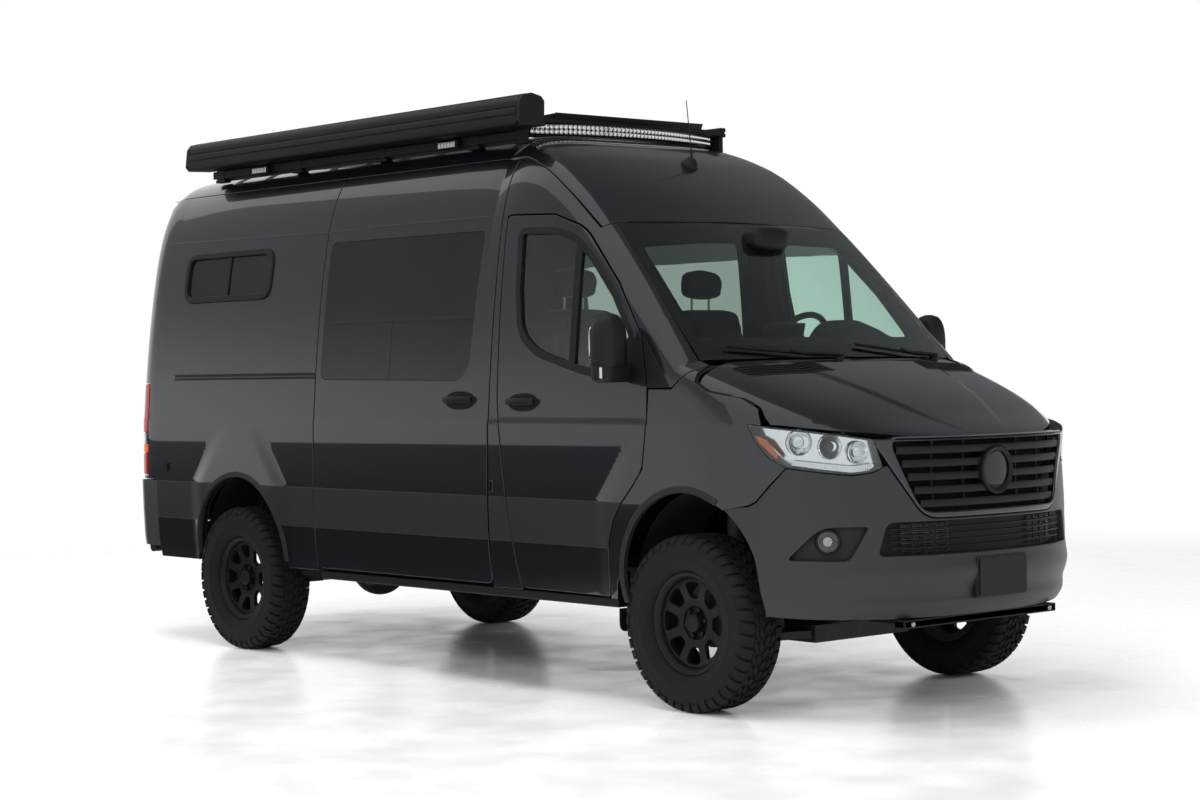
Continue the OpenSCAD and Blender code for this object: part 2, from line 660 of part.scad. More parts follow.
// steering knuckle between the lower and the upper arm
arm_low = hub_z - 110;
arm_high = hub_z + 118;
arm_t = 36;
spindle_end = wheel_y + 44;
module knuckle() {
  translate([front_axle_x, -kingpin_y, arm_low - 8])
    cylinder(r = kingpin_r, h = arm_high - arm_low + arm_t + 16);
  translate([front_axle_x, -kingpin_y, arm_low + arm_t + 6])
    cylinder(r = 46, h = arm_high - arm_low - arm_t - 12);
  translate([front_axle_x, -kingpin_y, hub_z]) rotate([90, 0, 0])
    cylinder(r = spindle_r, h = spindle_end - kingpin_y);
}
module right_knuckle() { color(steel) knuckle(); }
module left_knuckle() { color(steel) mirror([0, 1, 0]) knuckle(); }
strut_y = 655;
module arm(z, w, inner) {
  difference() {
    union() {
      translate([front_axle_x, -kingpin_y, z]) cylinder(r = 44, h = arm_t);
      translate([front_axle_x, 0, z]) linear_extrude(arm_t)
        polygon([[-w, -inner], [-28, -kingpin_y], [28, -kingpin_y], [w, -inner]]);
    }
    translate([front_axle_x, -kingpin_y, z - 1]) cylinder(r = kingpin_r + play, h = arm_t + 2);
  }
}
strut_r = 38;
module front_suspension() {
  color(steel) {
    both() {
      arm(arm_low, 150, 310);
      arm(arm_high, 60, -rail_y[0] + 0.3);
      translate([front_axle_x, -strut_y, arm_high + arm_t - 4])
        cylinder(r = strut_r, h = 985 - arm_high - arm_t + 4);
    }
    box([front_axle_x - 170, front_axle_x + 170], [-320, 320], [arm_low - 20, arm_low + 60]);
    both() box([front_axle_x - 60, front_axle_x + 60], [-460, -410], [arm_low, rail_z[0] - 0.3]);
    translate([front_axle_x, 0, hub_z]) sphere(r = 118);
  }
}
module rear_axle() {
  color(steel) {
    translate([rear_axle_x, 0, hub_z]) {
      rotate([90, 0, 0]) cylinder(r = 52, h = 2 * 735, center = true);
      rotate([90, 0, 0]) cylinder(r = spindle_r, h = 2 * spindle_end, center = true);
      sphere(r = 165);
    }
    // leaf springs and shock absorbers
    both() {
      translate([rear_axle_x, -500, hub_z + 52 - 2300]) rotate([90, 0, 0])
        rotate([0, 0, 74]) rotate_extrude(angle = 32, $fn = 200)
          translate([2300, -35]) square([26, 70]);
      translate([rear_axle_x + 110, -560, hub_z]) rotate([0, 20, 0])
        cylinder(r = 30, h = 218);
      box([rear_axle_x - 20, rear_axle_x + 140], [-600, -500], [hub_z - 40, hub_z + 60]);
    }
  }
}

rail_y = [-470, -400];
rail_z = [520, 618];
module chassis() {
  color(black) {
    both() box([-2780 + tail, 2640], rail_y, rail_z);
    for (x = [-2780 + tail, -2200 + tail, -900, 100, 1100, 2480])
      box([x, x + 80], [-420, 420], [rail_z[0] + 10, rail_z[1] - 10]);
    translate([-2938 + tail, 0, 512]) rotate([90, 0, 0]) cylinder(r = 32, h = 1600, center = true);
    both() box([-2940 + tail, -2700 + tail], [-450, -410], [496, 528]);
    // skid plate ahead of the front axle
    translate([2300, -430, 380]) rotate([0, -12, 0]) cube([420, 860, 8]);
    both() box([2560, 2600], [-430, -400], [408, rail_z[0] + 10]);
    // bar below the bumper, on two arms
    both() box([2560, 2800], [-430, -400], [408, 435.7]);
    box([2790, 2850], [-520, 520], [400, 435.7]);
  }
}
floor_z = [rail_z[1], rail_z[1] + 34];
liner_t = 6;
module liner(x, z, r, y0, y1, inner_wall) {
  intersection() {
    difference() {
      translate([x, y0, z]) rotate([90, 0, 0]) cylinder(r = r + liner_t, h = y0 - y1);
      translate([x, y0 - inner_wall, z]) rotate([90, 0, 0]) cylinder(r = r, h = y0 - y1 + 20);
    }
    box([x - 600, x + 600], [-1000, 0], [sill_z + 20, 1200]);
  }
}
rear_liner_r = rear_arch[2] + 18;
// the floor reaches the side walls
floor_half = lookup(floor_z[0], side_table) - wall - 0.3;
// step up to the cab floor
cab_step = 12;
module floor_pan() {
  color(charcoal) {
    difference() {
      union() {
        box([-2680 + tail, 1470], [-930, 930], floor_z);
        box([tail_start, 590], [-floor_half, floor_half], floor_z);
        box([-2775 + tail, -2600 + tail], [-780, 780], floor_z);
        box([1400, 1900], [-462, 462], floor_z);
        box([600, 1470], [-920, 920], [floor_z[1], floor_z[1] + cab_step]);
      }
      both() translate([rear_arch[0], -650, rear_arch[1]]) rotate([90, 0, 0])
        cylinder(r = rear_liner_r + 2, h = 400);
    }
    both() liner(rear_arch[0], rear_arch[1], rear_liner_r, -640, -925, 10);
    both() liner(1985, 520, 470, -500, -858, 0);
    // flange for the rear mud flaps
    both() box([-2132 + tail, -2100 + tail], [-925, -745], [496, 512]);
    // bulkhead ahead of the cab
    translate([1870, 0, 0]) rotate([90, 0, 90]) linear_extrude(36)
      polygon([[-462, floor_z[0]], [462, floor_z[0]], [462, 986], [900, 986], [880, 1420],
        [-880, 1420], [-900, 986], [-462, 986]]);
  }
}
exhaust_r = 34;
seat_z = rail_z[0] + 9.7;
module underbody() {
  color(steel) {
    // fuel tank, exhaust, propeller shaft and gearbox below the cross members
    box([120, 1000], [-380, -20], [370, seat_z]);
    translate([-2500 + tail, 250, seat_z - exhaust_r]) rotate([0, 90, 0])
      cylinder(r = exhaust_r, h = 2400 - tail);
    translate([-700, 250, seat_z - exhaust_r]) rotate([0, 90, 0]) cylinder(r = 80, h = 600);
    translate([rear_axle_x + 164.3, 60, hub_z]) rotate([0, 90, 0]) cylinder(r = 38, h = wheelbase - 900);
    box([1110, 1700], [-160, 200], [hub_z - 60, seat_z]);
  }
}
module engine_block() {
  color(steel) box([2010, 2620], [-300, 300], [rail_z[1] - 9.7, 1225]);
}
flap_t = 8;
module mud_flaps() {
  color(black) both() {
    box([1508, 1508 + flap_t], [-970, -745], [330, 438]);
    box([1508, 1508 + flap_t], [-858, -745], [438, 503.7]);
    box([-2130 + tail, -2130 + flap_t + tail], [-925, -745], [290, 495.7]);
  }
}

rack_z = 2775;
rail_half = rack_w / 2;
foot_w = 30;
// height of the roof below a foot's inner edge
function foot_z(x) =
  let (y = rail_half - foot_w, top = lookup(x, top_table))
  over(x, y / side_w(x, top - 80))[2] + 0.3;
// the awning clears the light bar
bar_room = 40;
awning_y = max(rail_half, bar_half + bar_room) + 0.3;
bar_h = 58;
bar_bow = [1490, 1560];
bar_front = 635;
// where a rack narrower than the light bar has its rails above it, and its last feet behind it
narrow = rail_half < bar_half + bar_room;
bar_top = narrow ? rack_z - 0.3 : rack_z + 7.7;
bar_back_x = bar_front - bar_bow[1] + sqrt(pow(bar_bow[0], 2) - pow(rail_half, 2));
last_foot = narrow ? bar_back_x - 60 - bar_room : 480;
foot_xs = [-2300 + tail, -1500, -700, 100, last_foot];
// lower rail, clear of the roof
low_rail_z = max([for (x = foot_xs) max(foot_z(x), foot_z(x + 60))]) + 36;
module roof_rack() {
  color(black) {
    both() {
      box([-2420 + tail, 560], [-rail_half, -rail_half + 40], [rack_z, rack_z + 50]);
      box([-2360 + tail, last_foot + 50], [-rail_half + 2, -rail_half + 28],
        [low_rail_z, min(low_rail_z + 44, rack_z + 1)]);
      for (x = foot_xs) {
        box([x, x + 60], [-rail_half, -rail_half + foot_w], [max(foot_z(x), foot_z(x + 60)), rack_z + 10]);
      }
    }
    // awning brackets
    for (x = [-2200 + tail, -900, 300]) box([x, x + 90], [-awning_y + 0.3, -rail_half + 20],
      [rack_z, rack_z + 40]);
    for (x = [-2380 + tail:330:500]) box([x, x + 44], [-rail_half + 20, rail_half - 20],
      [rack_z + 8, rack_z + 34]);
    // fairing plate at the front
    box([520, 560], [-rail_half + 20, rail_half - 20], [rack_z + 8, rack_z + 34]);
    translate([552, -510, rack_z + 30]) rotate([0, 12, 0]) cube([6, 1020, 40]);
  }
}
module awning() {
  color(black) translate([700 - awning_len, -awning_y - 170, 2742]) rotate([90, 0, 90])
    linear_extrude(awning_len) polygon(soft([[0, 40, 18], [0, 0, 18], [170, 0, 10],
      [170, 150, 30], [90, 164, 30], [20, 140, 40]], 4));
}
module light_bar() {
  color(black) intersection() {
    translate([bar_front - bar_bow[1], 0, bar_top - bar_h]) difference() {
      cylinder(r = bar_bow[1], h = bar_h, $fn = 160);
      translate([0, 0, -1]) cylinder(r = bar_bow[0], h = bar_h + 2, $fn = 160);
    }
    box([200, 700], [-bar_half, bar_half], [2600, 2900]);
  }
}
// aerial on the slope of the dome
aerial_x = 1000;
aerial_lean = atan((top_z(900, 0) - top_z(1100, 0)) / 200);
module antenna() {
  color(black) translate([aerial_x, 0, top_z(aerial_x, 0)]) rotate([0, aerial_lean, 0])
    translate([0, 0, 0.3]) {
      cylinder(r1 = 45, r2 = 24, h = 42);
      translate([0, 0, 30]) rotate([0, -58, 0]) cylinder(r = 4, h = 300);
    }
}
// steering column: middle of the wheel and its lean from upright
column = [1350, 400, 1628];
column_lean = 62;
column_pin_r = 12;
module dashboard() {
  color(charcoal) {
    rotate([90, 0, 0]) linear_extrude(1500, center = true)
      polygon(soft([[1570, 1390, 60], [1640, 1004, 30], [1869.7, 1004, 0], [1869.7, 1640, 0],
        [1740, 1682, 40], [1600, 1640, 50]]));
    // binnacle
    translate([1680, 430, 1690]) rotate([90, 0, 0]) cylinder(r = 82, h = 400, center = true);
    translate(column) rotate([0, -column_lean, 0]) difference() {
      translate([0, 0, -290]) cylinder(r = 26, h = 254);
      translate([0, 0, -96]) cylinder(r = column_pin_r + play, h = 70);
    }
  }
}
seat_y = 440;
module seat() {
  rotate([90, 0, 0]) translate([0, 0, -260]) linear_extrude(520)
    polygon(soft([[720, 1065, 50], [1260, 1115, 60], [1250, 1245, 60], [860, 1205, 40],
      [700, 1865, 50], [570, 1855, 50]]));
  rotate([90, 0, 0]) translate([0, 0, -140]) linear_extrude(280)
    polygon(soft([[560, 1890, 30], [670, 1890, 30], [650, 2065, 40], [560, 2065, 40]]));
  box([590, 620], [-70, -55], [1830, 1920]);
  box([590, 620], [55, 70], [1830, 1920]);
  box([780, 1180], [-200, 200], [floor_z[1] + cab_step, 1115]);
}
module seats() {
  color(black) both() translate([0, -seat_y, 0]) seat();
}
module steering_wheel() {
  color(black) translate(column) rotate([0, -column_lean, 0]) {
    rotate_extrude() translate([wheel_rim_r, 0]) circle(r = 16, $fn = 16);
    for (a = [0, 120, 240]) rotate(a) translate([0, -18, -8]) cube([wheel_rim_r, 36, 14]);
    translate([0, 0, -30]) cylinder(r = 62, h = 44);
    translate([0, 0, -90]) cylinder(r = column_pin_r, h = 70);
  }
}

chassis();
floor_pan();
left_side();
right_side();
roof();
cab_frame();
windscreen();
sliding_door();
side_glass();
front_bumper();
grille();
fenders();
headlamps();
tail_lamps();
rear_bumper();
roof_rack();
awning();
light_bar();
antenna();
mud_flaps();
dashboard();
seats();
engine_block();
front_suspension();
rear_axle();
underbody();
right_door();
right_door_glass();
right_mirror();
left_door();
left_door_glass();
left_mirror();
right_rear_door();
right_rear_glass();
left_rear_door();
left_rear_glass();
bonnet();
steering_wheel();
right_knuckle();
left_knuckle();
front_right_rim();
front_right_tyre();
front_left_rim();
front_left_tyre();
rear_right_rim();
rear_right_tyre();
rear_left_rim();
rear_left_tyre();
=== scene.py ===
import math

import bmesh
import bpy
import numpy as np
from mathutils import Matrix, Vector
from mathutils.geometry import delaunay_2d_cdt


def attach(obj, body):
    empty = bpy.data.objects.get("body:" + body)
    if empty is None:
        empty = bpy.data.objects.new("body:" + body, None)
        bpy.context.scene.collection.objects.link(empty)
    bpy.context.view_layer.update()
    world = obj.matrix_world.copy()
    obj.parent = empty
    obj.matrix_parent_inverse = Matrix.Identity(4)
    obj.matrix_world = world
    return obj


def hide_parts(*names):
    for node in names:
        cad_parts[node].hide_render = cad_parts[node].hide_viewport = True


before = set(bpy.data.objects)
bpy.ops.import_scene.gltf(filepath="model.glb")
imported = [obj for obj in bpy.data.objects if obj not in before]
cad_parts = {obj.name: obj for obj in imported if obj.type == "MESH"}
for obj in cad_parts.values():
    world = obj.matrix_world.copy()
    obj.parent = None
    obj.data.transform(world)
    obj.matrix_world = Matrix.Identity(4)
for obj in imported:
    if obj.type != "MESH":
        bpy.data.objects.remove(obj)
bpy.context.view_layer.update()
mm = 0.001  # tables below are in millimetres, meshes in metres


# curves of the body: the tables of the solids, with a thinner step at the belt
def curve(rows, breaks=()):  # smooth monotone curve through [where, value] rows, with corners at the breaks
    xs, ys = np.array(rows, float).T
    step = np.diff(xs)
    rise = np.diff(ys) / step
    before, after = np.r_[rise[0], rise], np.r_[rise, rise[-1]]
    soft = np.zeros(len(xs))
    for i in range(1, len(xs) - 1):
        if rise[i - 1] * rise[i] > 0:
            a, b = 2 * step[i] + step[i - 1], step[i] + 2 * step[i - 1]
            soft[i] = (a + b) / (a / rise[i - 1] + b / rise[i])
    soft[0], soft[-1] = rise[0], rise[-1]
    corner = np.isin(xs, breaks)
    left, right = np.where(corner, before, soft), np.where(corner, after, soft)

    def at(x):
        x = np.clip(np.asarray(x, float), xs[0], xs[-1])
        i = np.clip(np.searchsorted(xs, x, "right") - 1, 0, len(xs) - 2)
        t, h = (x - xs[i]) / step[i], step[i]
        return (ys[i] * (1 + 2 * t) * (1 - t) ** 2 + right[i] * h * t * (1 - t) ** 2
            + ys[i + 1] * t * t * (3 - 2 * t) + left[i + 1] * h * t * t * (t - 1))
    return at


sideWidth = curve([[430, 968], [600, 992], [760, 1000], [930, 1004], [1290, 1000], [1302, 995.2],
    [1560, 976], [2262, 900], [2760, 845]], breaks=(1290, 1302))
topLine = curve([[-2860, 2684], [-2600, 2728], [-2000, 2745], [0, 2752], [400, 2743], [650, 2704],
    [900, 2612], [1150, 2455], [1400, 2245], [2080, 1582], [2200, 1545], [2500, 1430], [2750, 1310],
    [2900, 1238], [2970, 1192]], breaks=(2080,))
sweepBack = curve([[300, 0], [1300, 0.000157], [2100, 0.00018], [2600, 0.0002], [2970, 0.00042]])
cornerPower = curve([[500, 6], [1250, 14], [1950, 14], [2200, 9], [2970, 7]])
cornerBase = curve([[1900, 1250], [2400, 1000], [2970, 850]])
noseLine = curve([[430, 2925], [520, 2958], [620, 2960], [900, 2952], [1073, 2942], [1240, 2948],
    [1600, 2948]])
tailLine = curve([[430, -2836], [1200, -2845], [2600, -2800], [2760, -2780]])
crownDrop = curve([[500, 30], [1400, 8], [2970, 8]])
noseStart, nosePower = 2000, 2.5
tailStart, tailPower = -2480, 5
crownY = 850
# place, half width at the belt and front end of each swell
flare = {"out": 21, "belt": 1285, "fall": 385, "reach": 355, "spread": 0.85, "soft": 160, "fade": 180,
    "arches": ((-1648, 130, 0), (1995, 240, 2330))}


def flankWidth(x, z):  # half width of the flanks before the roof's corners
    nose = np.clip((x - noseStart) / (noseLine(z) - noseStart), 0, 1)
    tail = np.clip((x - tailStart) / (tailLine(z) - tailStart), 0, 1)
    front = (1 - nose ** nosePower) ** (1 / nosePower)
    return sideWidth(z) * front * (1 - tail ** tailPower) ** (1 / tailPower)


def crownZ(x, y):
    return topLine(x + sweepBack(x) * y * y) - crownDrop(x) * (y / crownY) ** 2


def halfWidth(x, z):  # half width of the whole body at a station and height, by halving
    x, z = np.asarray(x, float), np.asarray(z, float)
    wide = flankWidth(x, z)
    low, high = np.zeros_like(wide), wide.copy()
    power, base = cornerPower(x), cornerBase(x)
    for _ in range(26):
        y = (low + high) / 2
        top = crownZ(x, y)
        share = np.clip((z - base) / np.maximum(top - base, 1), 0, 1)
        out = np.where(z >= top, True, (y / np.maximum(wide, 1)) ** power + share ** power > 1)
        high, low = np.where(out, y, high), np.where(out, low, y)
    return np.where(z <= base, wide, low)


# how the rear corner and the nose unroll: distance along them for each share of their turn
def unrolled(power, along, wide):
    f = np.linspace(0, math.pi / 2, 1500)
    x, y = along * np.cos(f) ** (2 / power), wide * np.sin(f) ** (2 / power)
    return f, np.r_[0, np.cumsum(np.hypot(np.diff(x), np.diff(y)))]


noseTurn, noseRun = unrolled(nosePower, 950, 1000)
tailTurn, tailRun = unrolled(tailPower, 365, 1000)
tailLength = tailRun[-1]


def flank(p):  # right side: p = [station, height]; behind the rear corner's start the station unrolls
    s, z = p[:, 0], p[:, 1]
    turn = np.interp(np.minimum(tailStart - s, tailLength), tailLength - tailRun[::-1], tailTurn[::-1])
    behind = s < tailStart
    x = np.where(behind, tailStart + (tailLine(z) - tailStart) * np.cos(turn) ** (2 / tailPower), s)
    y = np.where(behind, halfWidth(np.full_like(s, tailStart), z) * np.sin(turn) ** (2 / tailPower),
        halfWidth(np.maximum(s, tailStart), z))
    drop = flare["belt"] - z
    for middle, top, end in flare["arches"]:  # swells below the belt, wider as they near the wheel openings
        wide = top + np.clip(drop, 0, flare["reach"]) * flare["spread"]
        t = np.clip((wide - np.abs(x - middle)) / flare["soft"] + 0.5, 0, 1)
        fall = np.clip(drop / flare["fall"], 0, 1)
        y = y + flare["out"] * t * t * (3 - 2 * t) * fall * np.clip((end - x) / flare["fade"], 0, 1)
    return np.c_[x, -y, z]


def flankStation(x, z):  # station on the unrolled flank of a point of the rear corner
    t = np.clip((x - tailStart) / (tailLine(z) - tailStart), 0, 1)
    return tailStart - (tailLength - np.interp(np.arccos(t ** (tailPower / 2)), tailTurn,
        tailRun)) if x < tailStart else x


def nose(p):  # front: p = [distance round the nose from its middle, height]
    s, z = p[:, 0], p[:, 1]
    f = np.interp(np.abs(s), noseRun, noseTurn)
    return np.c_[noseStart + (noseLine(z) - noseStart) * np.cos(f) ** (2 / nosePower),
        sideWidth(z) * np.sin(f) ** (2 / nosePower) * np.sign(s), z]


def noseFromSide(x, z):  # distance round the nose of a point seen from the right
    t = np.clip((x - noseStart) / (noseLine(z) - noseStart), 0, 1)
    return -np.interp(np.arccos(t ** (nosePower / 2)), noseTurn, noseRun)


def noseFromFront(y, z):
    t = np.clip(np.abs(y) / sideWidth(z), 0, 1)
    return np.sign(y) * np.interp(np.arcsin(t ** (nosePower / 2)), noseTurn, noseRun)


def tailFace(p):  # rear doors: p = [across, height]
    y, z = p[:, 0], p[:, 1]
    bend = 1 - (1 - np.clip(np.abs(y) / sideWidth(z), 0, 1) ** tailPower) ** (1 / tailPower)
    return np.c_[tailLine(z) + (tailStart - tailLine(z)) * bend, y, z]


# bonnet and roof: p = [station on the middle line, share across x 1000], right side positive
def overBody(p):
    u, c = p[:, 0], p[:, 1] / 1000
    power = cornerPower(u)
    s = np.clip(1 - np.abs(c) ** power, 0, 1) ** (1 / power)
    y = flankWidth(u, topLine(u)) * np.abs(c)
    x = u - sweepBack(u) * y * y
    z = cornerBase(u) + (topLine(u) - crownDrop(u) * (y / crownY) ** 2 - cornerBase(u)) * s
    return np.c_[x, -flankWidth(x, z) * c, z]


def screenFace(p):  # windscreen: p = [station on the middle line, across]
    u, y = p[:, 0], p[:, 1]
    return np.c_[u - sweepBack(u) * y * y, y, topLine(u) - crownDrop(u) * (y / crownY) ** 2]


# outlines
def soft(rows, count=6):  # rounded outline from [across, up, corner] rows
    rows = np.array(rows, float)
    out = []
    for i, (a, b, r) in enumerate(rows):
        p = np.array([a, b])
        if r == 0:
            out.append(p)
            continue
        before, after = rows[i - 1][:2] - p, rows[(i + 1) % len(rows)][:2] - p
        s, e = p + before / np.hypot(*before) * r, p + after / np.hypot(*after) * r
        out += [(1 - t) ** 2 * s + 2 * t * (1 - t) * p + t * t * e for t in np.linspace(0, 1, count)]
    return np.array(out)


def dense(loop, step=12):  # points added along the straight runs
    loop = np.asarray(loop, float)
    out = []
    for a, b in zip(loop, np.roll(loop, -1, 0)):
        n = max(1, int(np.ceil(np.hypot(*(b - a)) / step)))
        out += [a + (b - a) * k / n for k in range(n)]
    return np.array(out)


def area(loop):
    a, b = loop, np.roll(loop, -1, 0)
    return (a[:, 0] * b[:, 1] - a[:, 1] * b[:, 0]).sum() / 2


def grown(loop, d):  # loop moved outward
    loop = loop if area(loop) > 0 else loop[::-1]
    a, b = np.roll(loop, 1, 0), np.roll(loop, -1, 0)
    e1, e2 = loop - a, b - loop
    e1, e2 = e1 / np.linalg.norm(e1, axis=1)[:, None], e2 / np.linalg.norm(e2, axis=1)[:, None]
    n1, n2 = np.c_[e1[:, 1], -e1[:, 0]], np.c_[e2[:, 1], -e2[:, 0]]
    k = d / np.maximum(1 + (n1 * n2).sum(1), 0.35)
    return loop + (n1 + n2) * k[:, None]


def inside(points, loop):
    hit = np.zeros(len(points), bool)
    x, y = points[:, 0], points[:, 1]
    for a, b in zip(loop, np.roll(loop, -1, 0)):
        if a[1] != b[1]:
            hit ^= ((a[1] > y) != (b[1] > y)) & (x < (b[0] - a[0]) * (y - a[1]) / (b[1] - a[1]) + a[0])
    return hit


def clipped(loop, axis, limit, keep):  # part of a loop below (keep -1) or above (keep 1) a limit
    out = []
    for a, b in zip(loop, np.roll(loop, -1, 0)):
        da, db = (a[axis] - limit) * keep, (b[axis] - limit) * keep
        if da >= 0:
            out.append(a)
        if da * db < 0:
            out.append(a + (b - a) * da / (da - db))
    return np.array(out)


def between(loop, axis, low, high):
    return clipped(clipped(loop, axis, low, 1), axis, high, -1)


def arc(x, z, r, start, end, n=40):
    t = np.radians(np.linspace(start, end, n))
    return np.c_[x + r * np.cos(t), z + r * np.sin(t)]


def around(count):  # even turns of a full circle
    return np.linspace(0, 2 * math.pi, count, endpoint=False)


def mirrorLoop(loop):  # the same outline on the other side of the middle line
    return np.asarray(loop)[::-1] * [-1, 1]


# meshes
def makeObject(name, verts, faces, material, normals=None, smooth=True):
    mesh = bpy.data.meshes.new(name)
    mesh.from_pydata([tuple(v) for v in np.asarray(verts) * mm], [],
        [tuple(int(i) for i in f) for f in faces])
    mesh.materials.append(material)
    if smooth:
        mesh.shade_smooth()
    if normals is not None:
        mesh.normals_split_custom_set_from_vertices([tuple(n) for n in normals])
    thing = bpy.data.objects.new(name, mesh)
    bpy.context.collection.objects.link(thing)
    return thing


def settle(thing, body="van", slot=None, stands=()):  # rides on a body, stands for solids
    slot = slot or slotOf[thing.data.materials[0].name]
    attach(thing, body)
    if stands:
        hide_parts(*stands)
    return thing


def unit(v):
    return v / np.maximum(np.linalg.norm(v, axis=1), 1e-9)[:, None]


def faceNormals(surface, p, facing):
    d = 0.6
    a = surface(p + [d, 0]) - surface(p - [d, 0])
    b = surface(p + [0, d]) - surface(p - [0, d])
    n = unit(np.cross(a, b))
    return n * (1 if (n @ np.array(facing, float)).sum() >= 0 else -1)


def panelMesh(surface, outline, holes, facing, thick, edge, step, lift, flipY):
    loops = [dense(outline, step * 0.6)] + [dense(h, step * 0.6) for h in holes]
    loops = [l if area(l) > 0 else l[::-1] for l in loops]
    inner = [grown(l, -edge if i == 0 else edge) for i, l in enumerate(loops)]
    low, high = loops[0].min(0), loops[0].max(0)
    grid = np.stack(np.meshgrid(np.arange(low[0] + step / 2, high[0], step),
        np.arange(low[1] + step / 2, high[1], step)), -1).reshape(-1, 2)
    keep = inside(grid, inner[0])
    for l in inner[1:]:
        keep &= ~inside(grid, l)
    grid = grid[keep]
    ring = np.concatenate(inner)
    far = np.array([np.min((ring[:, 0] - g[0]) ** 2 + (ring[:, 1] - g[1]) ** 2)
        for g in grid]) if len(grid) else np.zeros(0)
    grid = grid[far > (0.45 * step) ** 2] if len(grid) else grid
    flat = np.concatenate([ring, grid])
    sizes = [len(l) for l in inner]
    starts = np.r_[0, np.cumsum(sizes)]
    edges = [(int(starts[k] + i), int(starts[k] + (i + 1) % sizes[k])) for k in range(len(inner))
        for i in range(sizes[k])]
    out = delaunay_2d_cdt([Vector(p) for p in flat], edges, [], 0, 1e-4)
    flat2 = np.array([v[:] for v in out[0]])
    origin = [o[0] if o else -1 for o in out[3]]
    tris = np.array(out[2])
    middle = flat2[tris].mean(1)
    good = inside(middle, inner[0])
    for l in inner[1:]:
        good &= ~inside(middle, l)
    tris = tris[good]
    a, b, c = flat2[tris[:, 0]], flat2[tris[:, 1]], flat2[tris[:, 2]]
    turn = (b[:, 0] - a[:, 0]) * (c[:, 1] - a[:, 1]) - (b[:, 1] - a[:, 1]) * (c[:, 0] - a[:, 0])
    tris[turn < 0] = tris[turn < 0][:, ::-1]
    where = {o: i for i, o in enumerate(origin) if o >= 0}
    pos, nor = surface(flat2), faceNormals(surface, flat2, facing)
    pos = pos + nor * lift
    # the triangles turn with the normal, so their winding may need to swap
    p0, p1, p2 = pos[tris[:, 0]], pos[tris[:, 1]], pos[tris[:, 2]]
    if ((np.cross(p1 - p0, p2 - p0) * nor[tris[:, 0]]).sum(1)).sum() < 0:
        tris = tris[:, ::-1]
        swap = True
    else:
        swap = False
    n = len(pos)
    verts, normals, faces = [pos, pos - nor * thick], [nor, -nor], [tuple(t) for t in tris]
    faces += [tuple(t[::-1] + n) for t in tris]
    count = 2 * n
    for k, loop in enumerate(loops):
        ids = np.array([where[int(starts[k] + i)] for i in range(sizes[k])])
        base, up = pos[ids], nor[ids]
        out3 = surface(loop) + faceNormals(surface, loop, facing) * lift - base
        out3 -= up * (out3 * up).sum(1)[:, None]
        reach = np.linalg.norm(out3, axis=1)[:, None]
        side = out3 / np.maximum(reach, 1e-6)
        reach = np.minimum(reach, edge * 1.6)
        rings = [ids]
        for angle in (30, 60, 90):
            s, co = math.sin(math.radians(angle)), math.cos(math.radians(angle))
            verts.append(base + side * reach * s - up * np.minimum(edge, thick * 0.5) * (1 - co))
            normals.append(up * co + side * s)
            rings.append(np.arange(count, count + len(ids)))
            count += len(ids)
        verts.append(base + side * reach - up * thick)
        normals.append(side)
        rings.append(np.arange(count, count + len(ids)))
        count += len(ids)
        rings.append(ids + n)
        turned = swap ^ (k > 0)
        for r0, r1 in zip(rings, rings[1:]):
            for i in range(len(ids)):
                j = (i + 1) % len(ids)
                q = (r0[i], r1[i], r1[j], r0[j])
                faces.append(q[::-1] if turned else q)
    verts, normals = np.concatenate(verts), np.concatenate(normals)
    if flipY:
        verts, normals = verts * [1, -1, 1], normals * [1, -1, 1]
        faces = [f[::-1] for f in faces]
    return verts, faces, normals


def panel(name, surface, outline, material, body="van", slot=None, holes=(), facing=(0, -1, 0), thick=20,
        edge=3, step=24, lift=0, stands=(), flipY=False):
    verts, faces, normals = panelMesh(surface, outline, holes, facing, thick, edge, step, lift, flipY)
    return settle(makeObject(name, verts, faces, material, normals), body, slot, stands)


def loft(name, rings, material, closedAcross=True, capped=True, smooth=True):  # skin over rows of points
    rings = np.asarray(rings, float)
    n, m = rings.shape[:2]
    faces = []
    for i in range(n - 1):
        for j in range(m if closedAcross else m - 1):
            k = (j + 1) % m
            faces.append((i * m + j, i * m + k, (i + 1) * m + k, (i + 1) * m + j))
    if capped:
        faces += [tuple(range(m))[::-1], tuple(range((n - 1) * m, n * m))]
    return makeObject(name, rings.reshape(-1, 3), faces, material, smooth=smooth)


def crisp(thing, angle=35):  # smooth shading that keeps edges above an angle
    thing.data.set_sharp_from_angle(angle=math.radians(angle))
    return thing


def bevelled(thing, width, segments=2, angle=30):
    rule = thing.modifiers.new("edges", "BEVEL")
    rule.width, rule.segments = width * mm, segments
    rule.limit_method, rule.angle_limit = "ANGLE", math.radians(angle)
    rule.harden_normals = True
    return thing


def joined(name, parts):  # several meshes of one piece as one object
    keep = parts[0]
    for part in parts:
        for rule in list(part.modifiers):
            with bpy.context.temp_override(object=part):
                bpy.ops.object.modifier_apply(modifier=rule.name)
    with bpy.context.temp_override(active_object=keep, selected_editable_objects=parts):
        bpy.ops.object.join()
    keep.name = name
    keep.data.name = name
    return keep


def block(name, x, y, z, material, round=0, segments=2):  # box between limits with softened edges
    c = np.array([[a, b, d] for a in x for b in y for d in z], float)
    faces = [(0, 1, 3, 2), (4, 6, 7, 5), (0, 4, 5, 1), (2, 3, 7, 6), (0, 2, 6, 4), (1, 5, 7, 3)]
    thing = crisp(makeObject(name, c, faces, material))
    return bevelled(thing, round, segments) if round else thing


